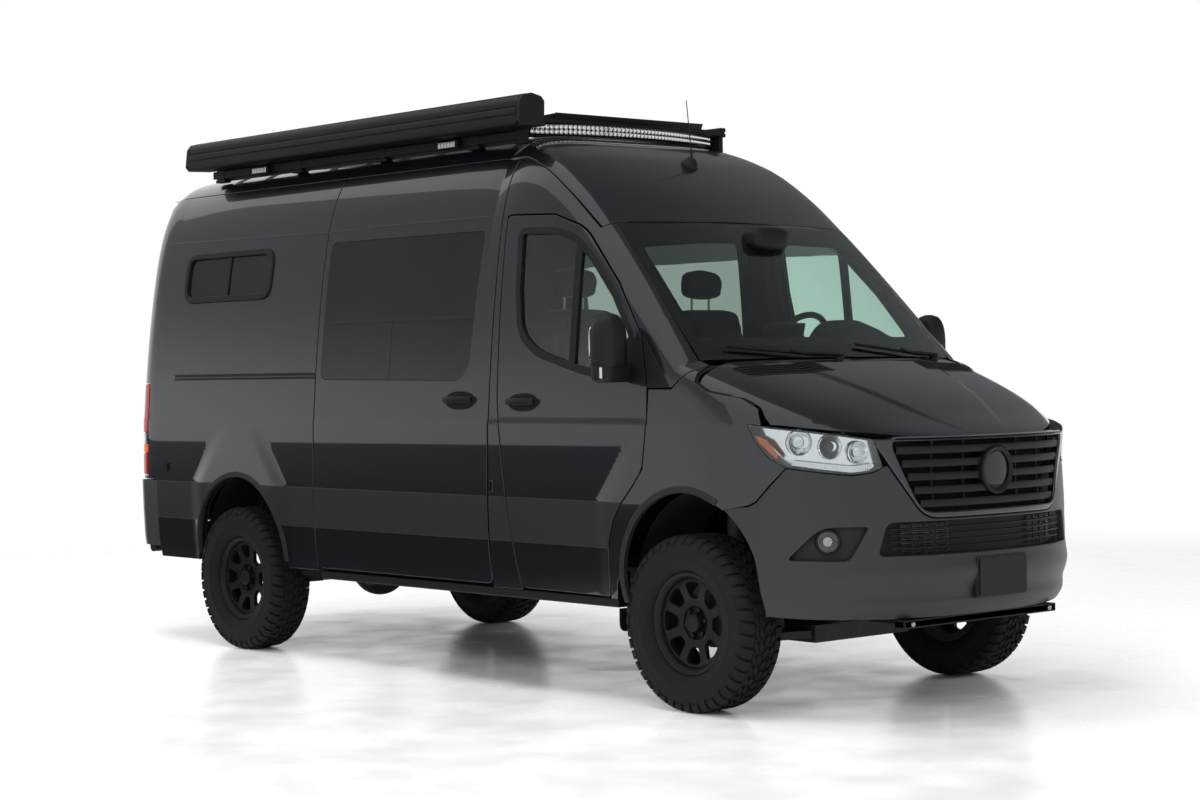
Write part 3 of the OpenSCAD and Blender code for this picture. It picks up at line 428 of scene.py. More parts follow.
def prism(name, loop, start, end, axis, material, round=0, segments=2):  # outline pushed along an axis
    loop = np.asarray(loop, float)
    loop = loop if area(loop) > 0 else loop[::-1]
    n = len(loop)
    put = {"x": lambda p, t: [t, p[0], p[1]], "y": lambda p, t: [p[0], t, p[1]], "z": lambda p,
        t: [p[0], p[1], t]}[axis]
    verts = [put(p, start) for p in loop] + [put(p, end) for p in loop]
    faces = [tuple(range(n))[::-1], tuple(range(n, 2 * n))] + [(i, (i + 1) % n, n + (i + 1) % n, n + i)
        for i in range(n)]
    if (axis == "y") != (end < start):
        faces = [f[::-1] for f in faces]
    thing = crisp(makeObject(name, verts, faces, material))
    return bevelled(thing, round, segments) if round else thing


# turned about Z from [radius, height] rows
def lathe(name, rows, material, count=64, place=None, angle=35):
    t = around(count)
    ring = rows[0][0] > 1 and rows[-1][0] > 1  # a profile clear of the axis closes on itself
    rows = list(rows) + [rows[0]] * ring
    rings = np.array([[[r * math.cos(a), r * math.sin(a), z] for a in t] for r, z in rows])
    thing = loft(name, rings, material, True, not ring)
    if ring:
        welded = bmesh.new()
        welded.from_mesh(thing.data)
        bmesh.ops.remove_doubles(welded, verts=welded.verts, dist=1e-6)
        welded.to_mesh(thing.data)
        welded.free()
    crisp(thing, angle)
    if place is not None:
        thing.data.transform(place)
    return thing


def tube(name, path, radius, material, sides=12, caps=True):  # round bar along points
    path = np.asarray(path, float)
    along = unit(np.gradient(path, axis=0))
    ref = np.array([0, 0, 1.0]) if abs(along[:, 2]).max() < 0.9 else np.array([1.0, 0, 0])
    a = unit(np.cross(along, ref))
    b = np.cross(along, a)
    t = around(sides)
    radius = np.broadcast_to(np.asarray(radius, float), len(path))
    rings = [[p + r * (math.cos(k) * u + math.sin(k) * v) for k in t] for p, u, v,
        r in zip(path, a, b, radius)]
    return crisp(loft(name, rings, material, True, caps), 50)


def at(x, y, z, turn=None):  # placement in millimetres
    return Matrix.Translation(Vector((x * mm, y * mm, z * mm))) @ (turn or Matrix.Identity(4))


def spin(degrees, axis):
    return Matrix.Rotation(math.radians(degrees), 4, axis)


def turned(thing, flip):  # moved to the left side where flip is set
    if flip:
        thing.data.transform(Matrix.Scale(-1, 4, (0, 1, 0)))
        thing.data.flip_normals()
    return thing


def mirrored(thing, name):  # a copy on the other side of the van
    copy = bpy.data.objects.new(name, thing.data.copy())
    copy.data.name = name
    bpy.context.collection.objects.link(copy)
    return turned(copy, True)


sides = (("right", False), ("left", True))  # the left side is the right one, mirrored
print("stage: tables and tools ready")


# finishes
def linear(code):  # sRGB hex to linear colour
    parts = [int(code[i:i + 2], 16) / 255 for i in (1, 3, 5)]
    return [c / 12.92 if c <= 0.04045 else ((c + 0.055) / 1.055) ** 2.4 for c in parts] + [1.0]


def add(tree, kind, inputs=None, **settings):  # one node with its settings and links
    node = tree.nodes.new(kind)
    for key, value in settings.items():
        setattr(node, key, value)
    for key, value in (inputs or {}).items():
        if isinstance(value, bpy.types.NodeSocket):
            tree.links.new(value, node.inputs[key])
        else:
            node.inputs[key].default_value = value
    return node


def finish(name, colour, **sockets):  # material with one surface shader
    material = bpy.data.materials.new(name)
    material.use_nodes = True
    tree = material.node_tree
    surface = tree.nodes["Principled BSDF"]
    surface.inputs["Base Color"].default_value = linear(colour)
    for key, value in sockets.items():
        surface.inputs[key].default_value = value
    material.diffuse_color = linear(colour)
    return material, tree, surface


def grain(tree, surface, size, depth, shade=None, rough=None, kind="ShaderNodeTexNoise", detail=3.0):
    # pattern of a real size in millimetres: bump, and where given a change of shade and roughness
    where = add(tree, "ShaderNodeTexCoord")
    inputs = {"Vector": where.outputs["Object"], "Scale": 1000.0 / size}
    if kind == "ShaderNodeTexNoise":
        inputs["Detail"] = detail
    pattern = add(tree, kind, inputs)
    value = pattern.outputs["Fac" if kind == "ShaderNodeTexNoise" else "Distance"]
    if depth:
        bump = add(tree, "ShaderNodeBump", {"Height": value, "Strength": 1.0, "Distance": depth * mm})
        tree.links.new(bump.outputs["Normal"], surface.inputs["Normal"])
    if shade:
        ramp = add(tree, "ShaderNodeValToRGB", {"Fac": value})
        ramp.color_ramp.elements[0].position, ramp.color_ramp.elements[1].position = 0.3, 0.7
        ramp.color_ramp.elements[0].color = linear(shade[0])
        ramp.color_ramp.elements[1].color = linear(shade[1])
        tree.links.new(ramp.outputs["Color"], surface.inputs["Base Color"])
    if rough:
        spread = add(tree, "ShaderNodeMapRange", {"Value": value, "From Min": 0.3, "From Max": 0.7,
            "To Min": rough[0], "To Max": rough[1]})
        tree.links.new(spread.outputs["Result"], surface.inputs["Roughness"])
    return where, pattern


matt = {"Specular IOR Level": 0.22}  # grained and moulded skins shine less than polished ones
# metallic base coat under clear lacquer: tiny flakes, a deep gloss and soft dark blue-grey
paint, tree, surface = finish("metallicLacquer", "#1c1f26", Metallic=0.75, Roughness=0.32,
    **{"Coat Weight": 1.0, "Coat Roughness": 0.02, "Coat IOR": 1.5})
# flakes drawn coarser, to show
grain(tree, surface, 2.2, 0, shade=("#191c23", "#20232a"), rough=(0.28, 0.38), detail=1.0)
# moulded polypropylene in charcoal: satin, with a fine leather-like grain
charcoal, tree, surface = finish("mouldedPolypropylene", "#1d1e21", Roughness=0.46, IOR=1.49, **matt)
grain(tree, surface, 5.0, 0.05, shade=("#1a1b1e", "#212225"), rough=(0.4, 0.52))
# bumper skin: the same polymer, smoother, and painted a shade lighter as painted light for the light its
# sides catch
litBumperSkin, tree, surface = finish("litBumperPolymer", "#222326", Roughness=0.4, IOR=1.49,
    **{"Specular IOR Level": 0.42})
grain(tree, surface, 5.0, 0.03, shade=("#1f2023", "#26272a"), rough=(0.36, 0.46))
# black ABS trim: dull moulded black
blackTrim, tree, surface = finish("blackAbs", "#0d0e0f", Roughness=0.5, IOR=1.53, **matt)
grain(tree, surface, 4.0, 0.05, shade=("#0b0c0d", "#101112"), rough=(0.44, 0.56))
# gloss black acrylic: smooth surrounds and bars
glossBlack, tree, surface = finish("glossAcrylic", "#08090a", Roughness=0.09, IOR=1.49)
grain(tree, surface, 60.0, 0, rough=(0.07, 0.11))
# powder coat on alloy and steel: matt black with a slight orange peel
powder, tree, surface = finish("blackPowderCoat", "#0d0d0e", Roughness=0.48, IOR=1.5, **matt)
grain(tree, surface, 3.0, 0.06, shade=("#0b0b0c", "#111112"), rough=(0.42, 0.54))
# cast and forged steel below the floor: dull dark grey with patches of dust
castSteel, tree, surface = finish("castSteel", "#3c3c3d", Metallic=0.6, Roughness=0.6)
grain(tree, surface, 40.0, 0.2, shade=("#2c2c2d", "#4a4844"), rough=(0.5, 0.75))
# tyre rubber: matt, a little dusty in random patches
rubber, tree, surface = finish("tyreRubber", "#121213", Roughness=0.78, IOR=1.52, **matt)
grain(tree, surface, 12.0, 0.15, shade=("#0f0f10", "#171718"), rough=(0.7, 0.86))
# soft black rubber: seals, flaps, wiper blades
sealRubber, tree, surface = finish("sealRubber", "#0b0b0c", Roughness=0.7, IOR=1.52, **matt)
grain(tree, surface, 8.0, 0.06, shade=("#090909", "#0e0e0f"), rough=(0.62, 0.78))
# float glass with a green tint: clear, sharp reflections
floatGlass, tree, surface = finish("tintedFloatGlass", "#d3e9df", Roughness=0.0, IOR=1.5,
    **{"Transmission Weight": 1.0})
# privacy glass: nearly black, mirror smooth
privacyGlass, tree, surface = finish("privacyGlass", "#0d0f10", Roughness=0.02, IOR=1.52,
    **{"Specular IOR Level": 0.4})
grain(tree, surface, 900.0, 0, shade=("#0b0d0e", "#101213"), detail=0.0)
# smoked glass of the left large pane: dark, but daylight comes through
smokedGlass, tree, surface = finish("smokedGlass", "#a9afab", Roughness=0.0, IOR=1.5,
    **{"Transmission Weight": 1.0})
# ceramic frit: matt black print baked on the windscreen's edge
frit, tree, surface = finish("ceramicFrit", "#070708", Roughness=0.85, IOR=1.45, **matt)
grain(tree, surface, 3.0, 0, shade=("#060607", "#09090a"))
# clear polycarbonate lamp lens
clearLens, tree, surface = finish("polycarbonateLens", "#f4f7f8", Roughness=0.0, IOR=1.45,
    **{"Transmission Weight": 1.0})
# vacuum-coated aluminium reflector: mirror bright
mirrorCoat, tree, surface = finish("aluminisedReflector", "#d9dcde", Metallic=1.0, Roughness=0.12)
grain(tree, surface, 30.0, 0, rough=(0.08, 0.18))
# red and amber acrylic lamp covers
redLens, tree, surface = finish("redAcrylic", "#8f0a10", Roughness=0.08, IOR=1.49,
    **{"Transmission Weight": 0.25})
grain(tree, surface, 6.0, 0.12, shade=("#7a070d", "#a50d15"), kind="ShaderNodeTexVoronoi")
amberLens, tree, surface = finish("amberAcrylic", "#e0560c", Roughness=0.08, IOR=1.49,
    **{"Transmission Weight": 0.2})
grain(tree, surface, 5.0, 0.12, shade=("#cc4a08", "#f06a14"), kind="ShaderNodeTexVoronoi")
# woven seat cloth: charcoal, soft
seatCloth, tree, surface = finish("wovenSeatCloth", "#1c1d1f", Roughness=0.92, IOR=1.4,
    **{"Sheen Weight": 0.1, "Sheen Roughness": 0.5})
grain(tree, surface, 3.0, 0.25, shade=("#161719", "#232427"), kind="ShaderNodeTexVoronoi")
# soft-touch dashboard skin
dashSkin, tree, surface = finish("dashboardSkin", "#18191b", Roughness=0.62, IOR=1.48, **matt)
grain(tree, surface, 4.0, 0.12, shade=("#151618", "#1c1d1f"), rough=(0.55, 0.7))
# headliner felt: dark grey
liningFelt, tree, surface = finish("liningFelt", "#3a3c3e", Roughness=0.95, IOR=1.4, **matt)
grain(tree, surface, 60.0, 0, shade=("#37393b", "#3d3f41"))
# wheel housing felt: dead black
housingFelt, tree, surface = finish("housingFelt", "#0c0c0d", Roughness=0.95, IOR=1.4)
grain(tree, surface, 6.0, 0.4, shade=("#0a0a0b", "#111112"))
# machined aluminium: bar fins and small bright parts
alloy, tree, surface = finish("machinedAluminium", "#9a9c9e", Metallic=1.0, Roughness=0.3)
grain(tree, surface, 6.0, 0.03, rough=(0.24, 0.38))
usualSlots = {  # slot of each finish, where a piece names no other
    "paint": ("metallicLacquer",),
    "charcoal_plastic": ("mouldedPolypropylene", "litBumperPolymer", "dashboardSkin"),
    "black_plastic": ("blackAbs", "glossAcrylic", "ceramicFrit", "housingFelt"),
    "black_metal": ("blackPowderCoat",),
    "tread": ("tyreRubber",),
    "flap_rubber": ("sealRubber",),
    "pane": ("tintedFloatGlass", "privacyGlass", "smokedGlass"),
    "lamp_lens": ("polycarbonateLens", "aluminisedReflector", "amberAcrylic"),
    "red_lens": ("redAcrylic",),
    "seat_cloth": ("wovenSeatCloth", "liningFelt"),
    "steel": ("machinedAluminium", "castSteel")}
slotOf = {name: slot for slot, group in usualSlots.items() for name in group}
print("stage: finishes ready")


# camera at the photograph's place
view = {"place": (9593.9, -8155.59, 1533.94), "azimuth": 48.76, "elevation": 0.71, "roll": -0.9,
    "lens": 70.51}
az, el, roll = (math.radians(view[k]) for k in ("azimuth", "elevation", "roll"))
back = Vector((math.sin(az) * math.cos(el), -math.cos(az) * math.cos(el), math.sin(el)))
right = (-back).cross(Vector((0, 0, 1))).normalized()
up = right.cross(-back)
across, upward = right * math.cos(roll) + up * math.sin(roll), up * math.cos(roll) - right * math.sin(roll)
camera = bpy.data.objects.new("camera", bpy.data.cameras.new("camera"))
camera.matrix_world = Matrix.Translation(Vector(view["place"]) * mm) @ Matrix((across, upward,
    back)).transposed().to_4x4()
camera.data.lens, camera.data.sensor_width, camera.data.clip_end = view["lens"], 36, 200
bpy.context.collection.objects.link(camera)
bpy.context.scene.camera = camera

# studio: pale floor, white surround, soft boxes above and to the sides
studio = {"floor": 12000, "fade": (6500, 11000), "surround": "#ffffff", "fill": 0.55}
world = bpy.data.worlds.new("studio")
bpy.context.scene.world = world
world.use_nodes = True
tree = world.node_tree
tree.nodes.clear()
path = add(tree, "ShaderNodeLightPath")
seen = add(tree, "ShaderNodeMath", {0: path.outputs["Is Camera Ray"],
    1: path.outputs["Is Transmission Ray"]}, operation="MAXIMUM")
shown = add(tree, "ShaderNodeMath", {0: seen.outputs[0], 1: path.outputs["Is Glossy Ray"]},
    operation="MAXIMUM")
level = add(tree, "ShaderNodeMapRange", {"Value": shown.outputs[0], "To Min": studio["fill"],
    "To Max": 1.0})
glow = add(tree, "ShaderNodeBackground", {"Color": linear(studio["surround"]),
    "Strength": level.outputs["Result"]})
add(tree, "ShaderNodeOutputWorld", {"Surface": glow.outputs["Background"]})
# painted studio floor: white, faintly glossy so the tyres mirror in it
floorPaint, tree, surface = finish("studioFloorPaint", "#f4f4f4", Roughness=0.22, IOR=1.4)
grain(tree, surface, 400.0, 0, shade=("#f2f2f2", "#f7f7f7"), rough=(0.16, 0.3))
# the floor thins out into the white surround
where = add(tree, "ShaderNodeTexCoord")
far = add(tree, "ShaderNodeVectorMath", {0: where.outputs["Object"]}, operation="LENGTH")
thin = add(tree, "ShaderNodeMapRange", {"Value": far.outputs["Value"], "From Min": studio["fade"][0] * mm,
    "From Max": studio["fade"][1] * mm}, interpolation_type="SMOOTHSTEP")
clear = add(tree, "ShaderNodeBsdfTransparent")
mixed = add(tree, "ShaderNodeMixShader", {0: thin.outputs["Result"], 1: surface.outputs["BSDF"],
    2: clear.outputs["BSDF"]})
tree.links.new(mixed.outputs["Shader"], tree.nodes["Material Output"].inputs["Surface"])
ring = [[studio["floor"] * math.cos(t), studio["floor"] * math.sin(t), 0] for t in around(72)]
makeObject("studioFloor", ring, [tuple(range(72))], floorPaint)
softBoxes = [  # place, aim, width, length, watts
    ((-600, -1600, 7200), (-300, 0, 0), 8000, 3600, 470),
    ((5200, -8500, 5200), (600, 0, 1000), 4200, 3000, 400),
    ((-5200, -7800, 4600), (-1200, 0, 1000), 4200, 3000, 190),
    ((8200, 3800, 4200), (1500, 0, 900), 3600, 2600, 170),
    ((-7600, 5200, 5200), (-1500, 0, 1000), 4200, 3000, 190)]
for i, (place, aim, width, length, watts) in enumerate(softBoxes):
    lamp = bpy.data.lights.new("softBox%d" % i, "AREA")
    lamp.shape, lamp.size, lamp.size_y, lamp.energy = "RECTANGLE", width * mm, length * mm, watts
    holder = bpy.data.objects.new("softBox%d" % i, lamp)
    holder.location = Vector(place) * mm
    holder.rotation_euler = (Vector(aim) - Vector(place)).to_track_quat("-Z", "Y").to_euler()
    bpy.context.collection.objects.link(holder)
    holder.visible_glossy = holder.visible_transmission = False  # no lamp mirrors in the panes
# boards seen only in the gloss: black ones low on the right, on the floor and rising behind, are
# painted shade of the floor beside the van, for the lower doors to mirror; grey ones, as the studio's
# walls are, stand behind them for the upper flank and high on the left for bonnet, screen and roof front
boardCoats = []
for name, colour, shade in (("blackVelvet", "#08080a", ("#070709", "#0a0a0c")),
        ("paleCanvas", "#b4b5b7", ("#b0b1b3", "#b8b9bb")), ("greyCanvas", "#6e6f72",
        ("#6b6c6f", "#727376"))):
    coat, tree, surface = finish(name, colour, Roughness=1.0, **matt)
    grain(tree, surface, 20.0, 0, shade=shade)
    side = add(tree, "ShaderNodeNewGeometry")  # seen from the van's side only
    clear = add(tree, "ShaderNodeBsdfTransparent")
    seen = side.outputs["Backfacing"]
    if name == "paleCanvas":  # fades out downward, so that the band below the belt stays bright
        height = add(tree, "ShaderNodeSeparateXYZ", {0: side.outputs["Position"]})
        fade = add(tree, "ShaderNodeMapRange", {"Value": height.outputs["Z"], "From Min": 1.3,
            "From Max": 3.9, "To Min": 1.0, "To Max": 0.0}, interpolation_type="SMOOTHSTEP")
        seen = add(tree, "ShaderNodeMath", {0: seen, 1: fade.outputs["Result"]},
            operation="MAXIMUM").outputs["Value"]
    oneSided = add(tree, "ShaderNodeMixShader", {0: seen, 1: surface.outputs["BSDF"],
        2: clear.outputs["BSDF"]})
    tree.links.new(oneSided.outputs["Shader"], tree.nodes["Material Output"].inputs["Surface"])
    boardCoats.append(coat)
for k, rows in enumerate(([[-300, -1500, 20], [3000, -5200, 20], [-1500, -4200, 20], [-7500, -2200, 20],
        [-9000, -1300, 20]], [[-1500, -4200, 20], [-3200, -9000, 1060], [-14500, -3600, 1060],
        [-7500, -2200, 20]], [[-1500, -10200, 1300], [-13500, -4600, 1300], [-13500, -4600, 9000],
        [-1500, -10200, 9000]], [[16000, 8000, 2600], [-12000, 8000, 2600], [-12000, 1500, 12500],
        [16000, 1500, 12500]])):
    board = makeObject("glossBoard%d" % k, rows, [tuple(range(len(rows)))], boardCoats[(k > 1) + (k > 2)],
        smooth=False)
    aim = Vector((0, 0, 1.2)) - Vector(np.mean(rows, 0) * mm)
    if board.data.polygons[0].normal.dot(aim if k > 1 else Vector((0, 0, 1))) < 0:
        board.data.flip_normals()
    board.visible_camera = board.visible_diffuse = board.visible_shadow = False
    board.visible_transmission = k > 1  # the inner face of a pane mirrors it too
bpy.context.scene.view_settings.view_transform = "Standard"
print("stage: camera and studio ready")


# body panels
body = {"gap": 7, "seam": 2598, "door": 58, "wall": 45, "roof": 38}
doorRows = [[827, 494, 30], [1474, 491, 25], [1486, 603, 0], [1490, 750, 0], [1530, 849, 0], [1591, 935, 0],
    [1665, 1013, 40], [1722, 1090, 30], [1737, 1313, 0], [1732, 1458, 0], [1680, 1690, 60], [1490, 1936, 0],
    [1327, 2100, 0], [1215, 2212, 70], [1000, 2284, 0], [640, 2300, 30], [645, 1889, 0], [660, 1400, 0],
    [691, 1206, 0], [734, 935, 0], [781, 699, 0]]
doorGlassRows = [[935, 1622, 60], [1231, 1545, 0], [1405, 1508, 0], [1480, 1500, 60], [1622, 1690, 25],
    [1480, 1890, 0], [1310, 2062, 0], [1170, 2175, 60], [1004, 2213, 0], [752, 2226, 45], [765, 1932, 0],
    [800, 1720, 70]]
sliderRows = [[-905, 500, 40], [596, 500, 50], [582, 760, 0], [590, 1400, 0], [590, 2597, 0],
    [-905, 2597, 0]]
sliderGlassRows = [[-860, 1510, 50], [360, 1496, 60], [424, 1580, 40], [470, 2236, 40], [-860, 2244, 50]]
leftGlassRows = [[-860, 1510, 70], [430, 1500, 90], [470, 2236, 60], [-860, 2244, 60]]
quarterGlassRows = [[-2300, 1975, 80], [-1420, 1975, 80], [-1420, 2232, 80], [-2300, 2232, 80]]
doorOutline, doorGlass = soft(doorRows), soft(doorGlassRows)
sliderOutline, sliderGlass = soft(sliderRows), soft(sliderGlassRows)
leftGlass, quarterGlass = soft(leftGlassRows), soft(quarterGlassRows)
rearArch, frontArch = (-1648, 535, 442), (1995, 588, 404)  # middle and radius of the wheel openings
clad, cladForm = (716, 932), {"thick": 8, "edge": 4, "lift": 5}  # cladding along the flanks


def rearEdge(z):  # where the quarter panel ends at the rear door
    y = np.interp(z, [2400, 2586], [790, 706])
    w = halfWidth(np.array([float(tailStart)]), np.array([float(z)]))[0]
    turn = math.asin(min(1, y / w) ** (tailPower / 2))
    return tailStart - (tailLength - np.interp(turn, tailTurn, tailRun))


def quarterOutline(front):
    archX, archZ, archR = rearArch
    low = math.degrees(math.asin((520 - archZ) / archR))
    up = [(rearEdge(z), z) for z in np.linspace(2597, 940, 40)]
    lampCut = flankStation(-2630, 1200)
    return np.concatenate([[[-2535, 652], [-2531, 484], [archX - archR - 20, 484],
        [archX - archR - 20, 520]], arc(archX, archZ, archR, 180 - low, low, 60),
        [[archX + archR + 20, 520], [archX + archR + 20, 484], [front, 484], [front, 2597]],
        [p for p in up if p[1] > 1504], [[rearEdge(1502), 1502], [lampCut, 1502], [lampCut, 958],
        [rearEdge(958), 958]], [[rearEdge(940), 940], [-2535, 940]]])


def sideDoor(side, flip):  # front door, its pane, seal, bars and trim
    rider = side + "_front_door"
    panel(side + "DoorPanel", flank, doorOutline, paint, rider, holes=[doorGlass], thick=body["door"],
        step=20, stands=[side + "_door"], flipY=flip)
    panel(side + "DoorPane", flank, grown(doorGlass, -2), floatGlass, rider, thick=6, edge=0.5, lift=-12,
        step=60, stands=[side + "_door_glass"], flipY=flip)
    panel(side + "DoorFrame", flank, grown(doorGlass, 14), blackTrim, rider, holes=[grown(doorGlass, -22)],
        thick=30, edge=3, lift=1.5, step=40, flipY=flip)
    bar = between(grown(doorGlass, -18), 0, 1180, 1224)
    panel(side + "DoorDivider", flank, bar, blackTrim, rider, thick=24, edge=2, lift=-2, step=40,
        flipY=flip)
    band = between(grown(doorOutline, -2), 1, *clad)
    panel(side + "DoorCladding", flank, band, charcoal, rider, **cladForm, flipY=flip)


for side, flip in sides:
    sideDoor(side, flip)
print("stage: front doors ready")

panel("slidingDoorPanel", flank, sliderOutline, paint, holes=[sliderGlass], thick=body["wall"],
    stands=["sliding_door"])
panel("slidingDoorPane", flank, grown(sliderGlass, -1), privacyGlass, thick=6, edge=1.5, lift=-1, step=40)
panel("slidingDoorCladding", flank, between(grown(sliderOutline, -2), 1, *clad), charcoal, **cladForm)

for side, front, extra in (("right", -912, []), ("left", 590, [leftGlass])):
    flip = side == "left"
    panel(side + "QuarterPanel", flank, quarterOutline(front), paint, holes=[quarterGlass] + extra,
        thick=body["wall"], stands=[side + "_side"], flipY=flip)
    archX, archZ, archR = rearArch
    bandLow = math.degrees(math.asin((clad[0] - archZ) / archR))
    bandHigh = math.degrees(math.asin((clad[1] - archZ) / archR))
    behindArch = np.concatenate([[[-2530, clad[0]]], arc(archX, archZ, archR, 180 - bandLow, 180 - bandHigh,
        14), [[-2530, clad[1]]]])
    aheadArch = np.concatenate([[[front - 2, clad[1]]], arc(archX, archZ, archR, bandHigh, bandLow, 14),
        [[front - 2, clad[0]]]])
    for part, loop in (("Rear", behindArch), ("Front", aheadArch)):
        panel(side + part + "SideCladding", flank, loop, charcoal, **cladForm, flipY=flip)
    panel(side + "QuarterPane", flank, grown(quarterGlass, -8), privacyGlass, thick=6, edge=1, lift=-6,
        step=40, flipY=flip)
    panel(side + "QuarterFrame", flank, grown(quarterGlass, 16), blackTrim,
        holes=[grown(quarterGlass, -20)], thick=24, edge=6, lift=9, step=40, flipY=flip)
    if extra:
        panel("leftLargePane", flank, grown(leftGlass, -1), smokedGlass, thick=6, edge=1.5, lift=-1,
            step=40, flipY=True)
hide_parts("side_glass")
print("stage: flanks ready")

# rear doors
rearDoorRows = [[-784, 660, 40], [-3.5, 660, 10], [-3.5, 2586, 10], [-700, 2586, 60], [-784, 2400, 0]]
rearGlassRows = [[-640, 1580, 70], [-150, 1580, 70], [-150, 2240, 70], [-610, 2240, 70]]
for side, flip in sides:
    rider = side + "_cargo_door"
    glass = soft(rearGlassRows)
    panel(side + "RearDoorPanel", tailFace, soft(rearDoorRows), paint, rider, holes=[glass],
        facing=(-1, 0, 0), thick=body["door"], flipY=flip, stands=[side + "_rear_door"])
    panel(side + "RearPane", tailFace, grown(glass, -1), privacyGlass, rider, facing=(-1, 0, 0), thick=6,
        edge=1.5, lift=-1, step=40, stands=[side + "_rear_glass"], flipY=flip)
print("stage: rear doors ready")

# fenders, bonnet, windscreen, cab frame, roof
archX, archZ, archR = frontArch
fenderOutline = np.concatenate([[[1481, 484], [1530, 484], [1545, 560]],
    arc(archX, archZ, archR, 168, 54.5, 50), [[2357, 941], [2392, 958], [2458, 1033], [2524, 1104],
    [2451, 1145.5], [2393, 1212.5], [2352, 1292.5]], [[2413, 1286.5], [2371, 1359], [2279, 1405],
    [2115, 1435], [2038, 1476], [2018, 1548], [1900, 1448], [1747, 1448]],
    [[1744, 1313], [1729, 1086], [1669, 1007], [1597, 929], [1537, 845], [1497, 748], [1493, 603]]])
for side, flip in sides:
    panel(side + "Fender", flank, fenderOutline, paint, thick=20, step=18,
        stands=[] if flip else ["fenders"], flipY=flip)


def bonnetPoint(x, z):  # place on the bonnet's own grid of a point seen from the right
    y = float(halfWidth(np.array([x]), np.array([z]))[0])
    u = x + float(sweepBack(x)) * y * y
    for _ in range(12):
        c = y / float(flankWidth(np.array([x]), np.array([z]))[0])
        y1 = float(flankWidth(np.array([u]), topLine(np.array([u])))[0]) * c
        u = x + float(sweepBack(u)) * y1 * y1
    return [u, 1000 * c]


bonnet = {"rear": 2112, "dome": 9, "domeEdge": 470, "domeSoft": 60}
bonnetSide = [[2024, 1557], [2042, 1484], [2117, 1442], [2200, 1427], [2281, 1412], [2330, 1390],
    [2374, 1366], [2410, 1327], [2446, 1291], [2520, 1281], [2582, 1272], [2650, 1262], [2714, 1251],
    [2770, 1238], [2806, 1229]]


def bonnetFace(p):  # the raised middle fades out toward the front
    out = overBody(p)
    edge = bonnet["domeEdge"] - (p[:, 0] - 2200) * 0.28
    t = np.clip((edge - np.abs(p[:, 1])) / bonnet["domeSoft"] + 0.5, 0, 1)
    fade = np.clip((2900 - p[:, 0]) / 250, 0, 1) * np.clip((p[:, 0] - 2110) / 80, 0, 1)
    out[:, 2] += bonnet["dome"] * t * t * (3 - 2 * t) * fade
    return out


def bonnetFront(c):  # where the bonnet's front edge crosses a line along it
    low, high = 2700.0, 2969.0
    for _ in range(40):
        u = (low + high) / 2
        if overBody(np.array([[u, c]]))[0, 2] > 1226:
            low = u
        else:
            high = u
    return u


rightEdge = np.array([bonnetPoint(x, z) for x, z in bonnetSide])
endC = rightEdge[-1][1]
frontEdge = np.array([[bonnetFront(c), c] for c in np.linspace(endC, -endC, 40)])
rearEdgeC = rightEdge[0][1]
bonnetLoop = np.concatenate([rightEdge, frontEdge[1:-1], (rightEdge * [1, -1])[::-1],
    [[bonnet["rear"], c] for c in np.linspace(-rearEdgeC, rearEdgeC, 40)[1:-1]]])
panel("bonnetPanel", bonnetFace, bonnetLoop, paint, "hood", facing=(0, 0, 1), thick=18, step=18,
    stands=["bonnet"])
ventLoop = soft([[2172, 344, 12], [2298, 330, 12], [2298, 792, 30], [2185, 812, 20]])
for side, loop in (("right", ventLoop), ("left", ventLoop[::-1] * [1, -1])):
    panel(side + "VentTray", bonnetFace, loop, blackTrim, "hood", facing=(0, 0, 1), thick=6, edge=2,
        step=40, lift=1.5)
    for k in range(5):
        u = 2190 + 24 * k
        blade = between(grown(loop, -14), 0, u, u + 11)
        panel("%sVentBlade%d" % (side, k), bonnetFace, blade, blackTrim, "hood", facing=(0, 0, 1), thick=5,
            edge=2.5, step=40, lift=7)
print("stage: bonnet ready")

# windscreen with its printed border, scuttle and wipers
screenRows = [[1402, 778], [1560, 796], [1740, 814], [1910, 832], [2078, 848]]
screenSide = np.array(screenRows, float)
screenLoop = dense(np.concatenate([screenSide, (screenSide * [1, -1])[::-1]]), 30)
panel("windscreenPane", screenFace, screenLoop, floatGlass, facing=(1, 0, 1), thick=7, edge=1, lift=-3,
    step=50, stands=["windscreen"])
borderIn = soft([[1512, 722, 50], [2014, 782, 60], [2014, -782, 60], [1512, -722, 50]])
panel("windscreenBorder", screenFace, grown(screenLoop, -2), frit, holes=[borderIn], facing=(1, 0, 1),
    thick=1.2, edge=0.3, lift=-10.6, step=60)
scuttleLoop = np.concatenate([[[2080, y] for y in np.linspace(-820, 820, 30)],
    [[2128, y] for y in np.linspace(800, -800, 30)]])
panel("scuttleTray", screenFace, scuttleLoop, blackTrim, facing=(0, 0, 1), thick=24, edge=4, step=40,
    lift=-24)
for side, tip, root in (("left", (2030, 80), (2090, 640)), ("right", (2030, -690), (2090, -110))):
    ends = np.linspace(root, tip, 14)
    blade = screenFace(ends) + faceNormals(screenFace, ends, (1, 0, 1)) * 13
    parts = [tube(side + "WiperRubber", blade, 7, sealRubber, 8)]
    middle = np.linspace((ends[0] + [34, 0]), ends[6], 8)
    parts.append(tube(side + "WiperArm", screenFace(middle) + faceNormals(screenFace, middle,
        (1, 0, 1)) * 24, 8, blackTrim, 8))
    parts.append(lathe(side + "WiperPivot", [(0.5, 0), (22, 0), (22, 22), (16, 30), (0.5, 30)], blackTrim,
        24, at(*(screenFace(np.array([[2112, root[1]]], float))[0] + [0, 0, -8]))))
    settle(joined(side + "Wiper", parts), "van", "black_plastic")
print("stage: windscreen ready")

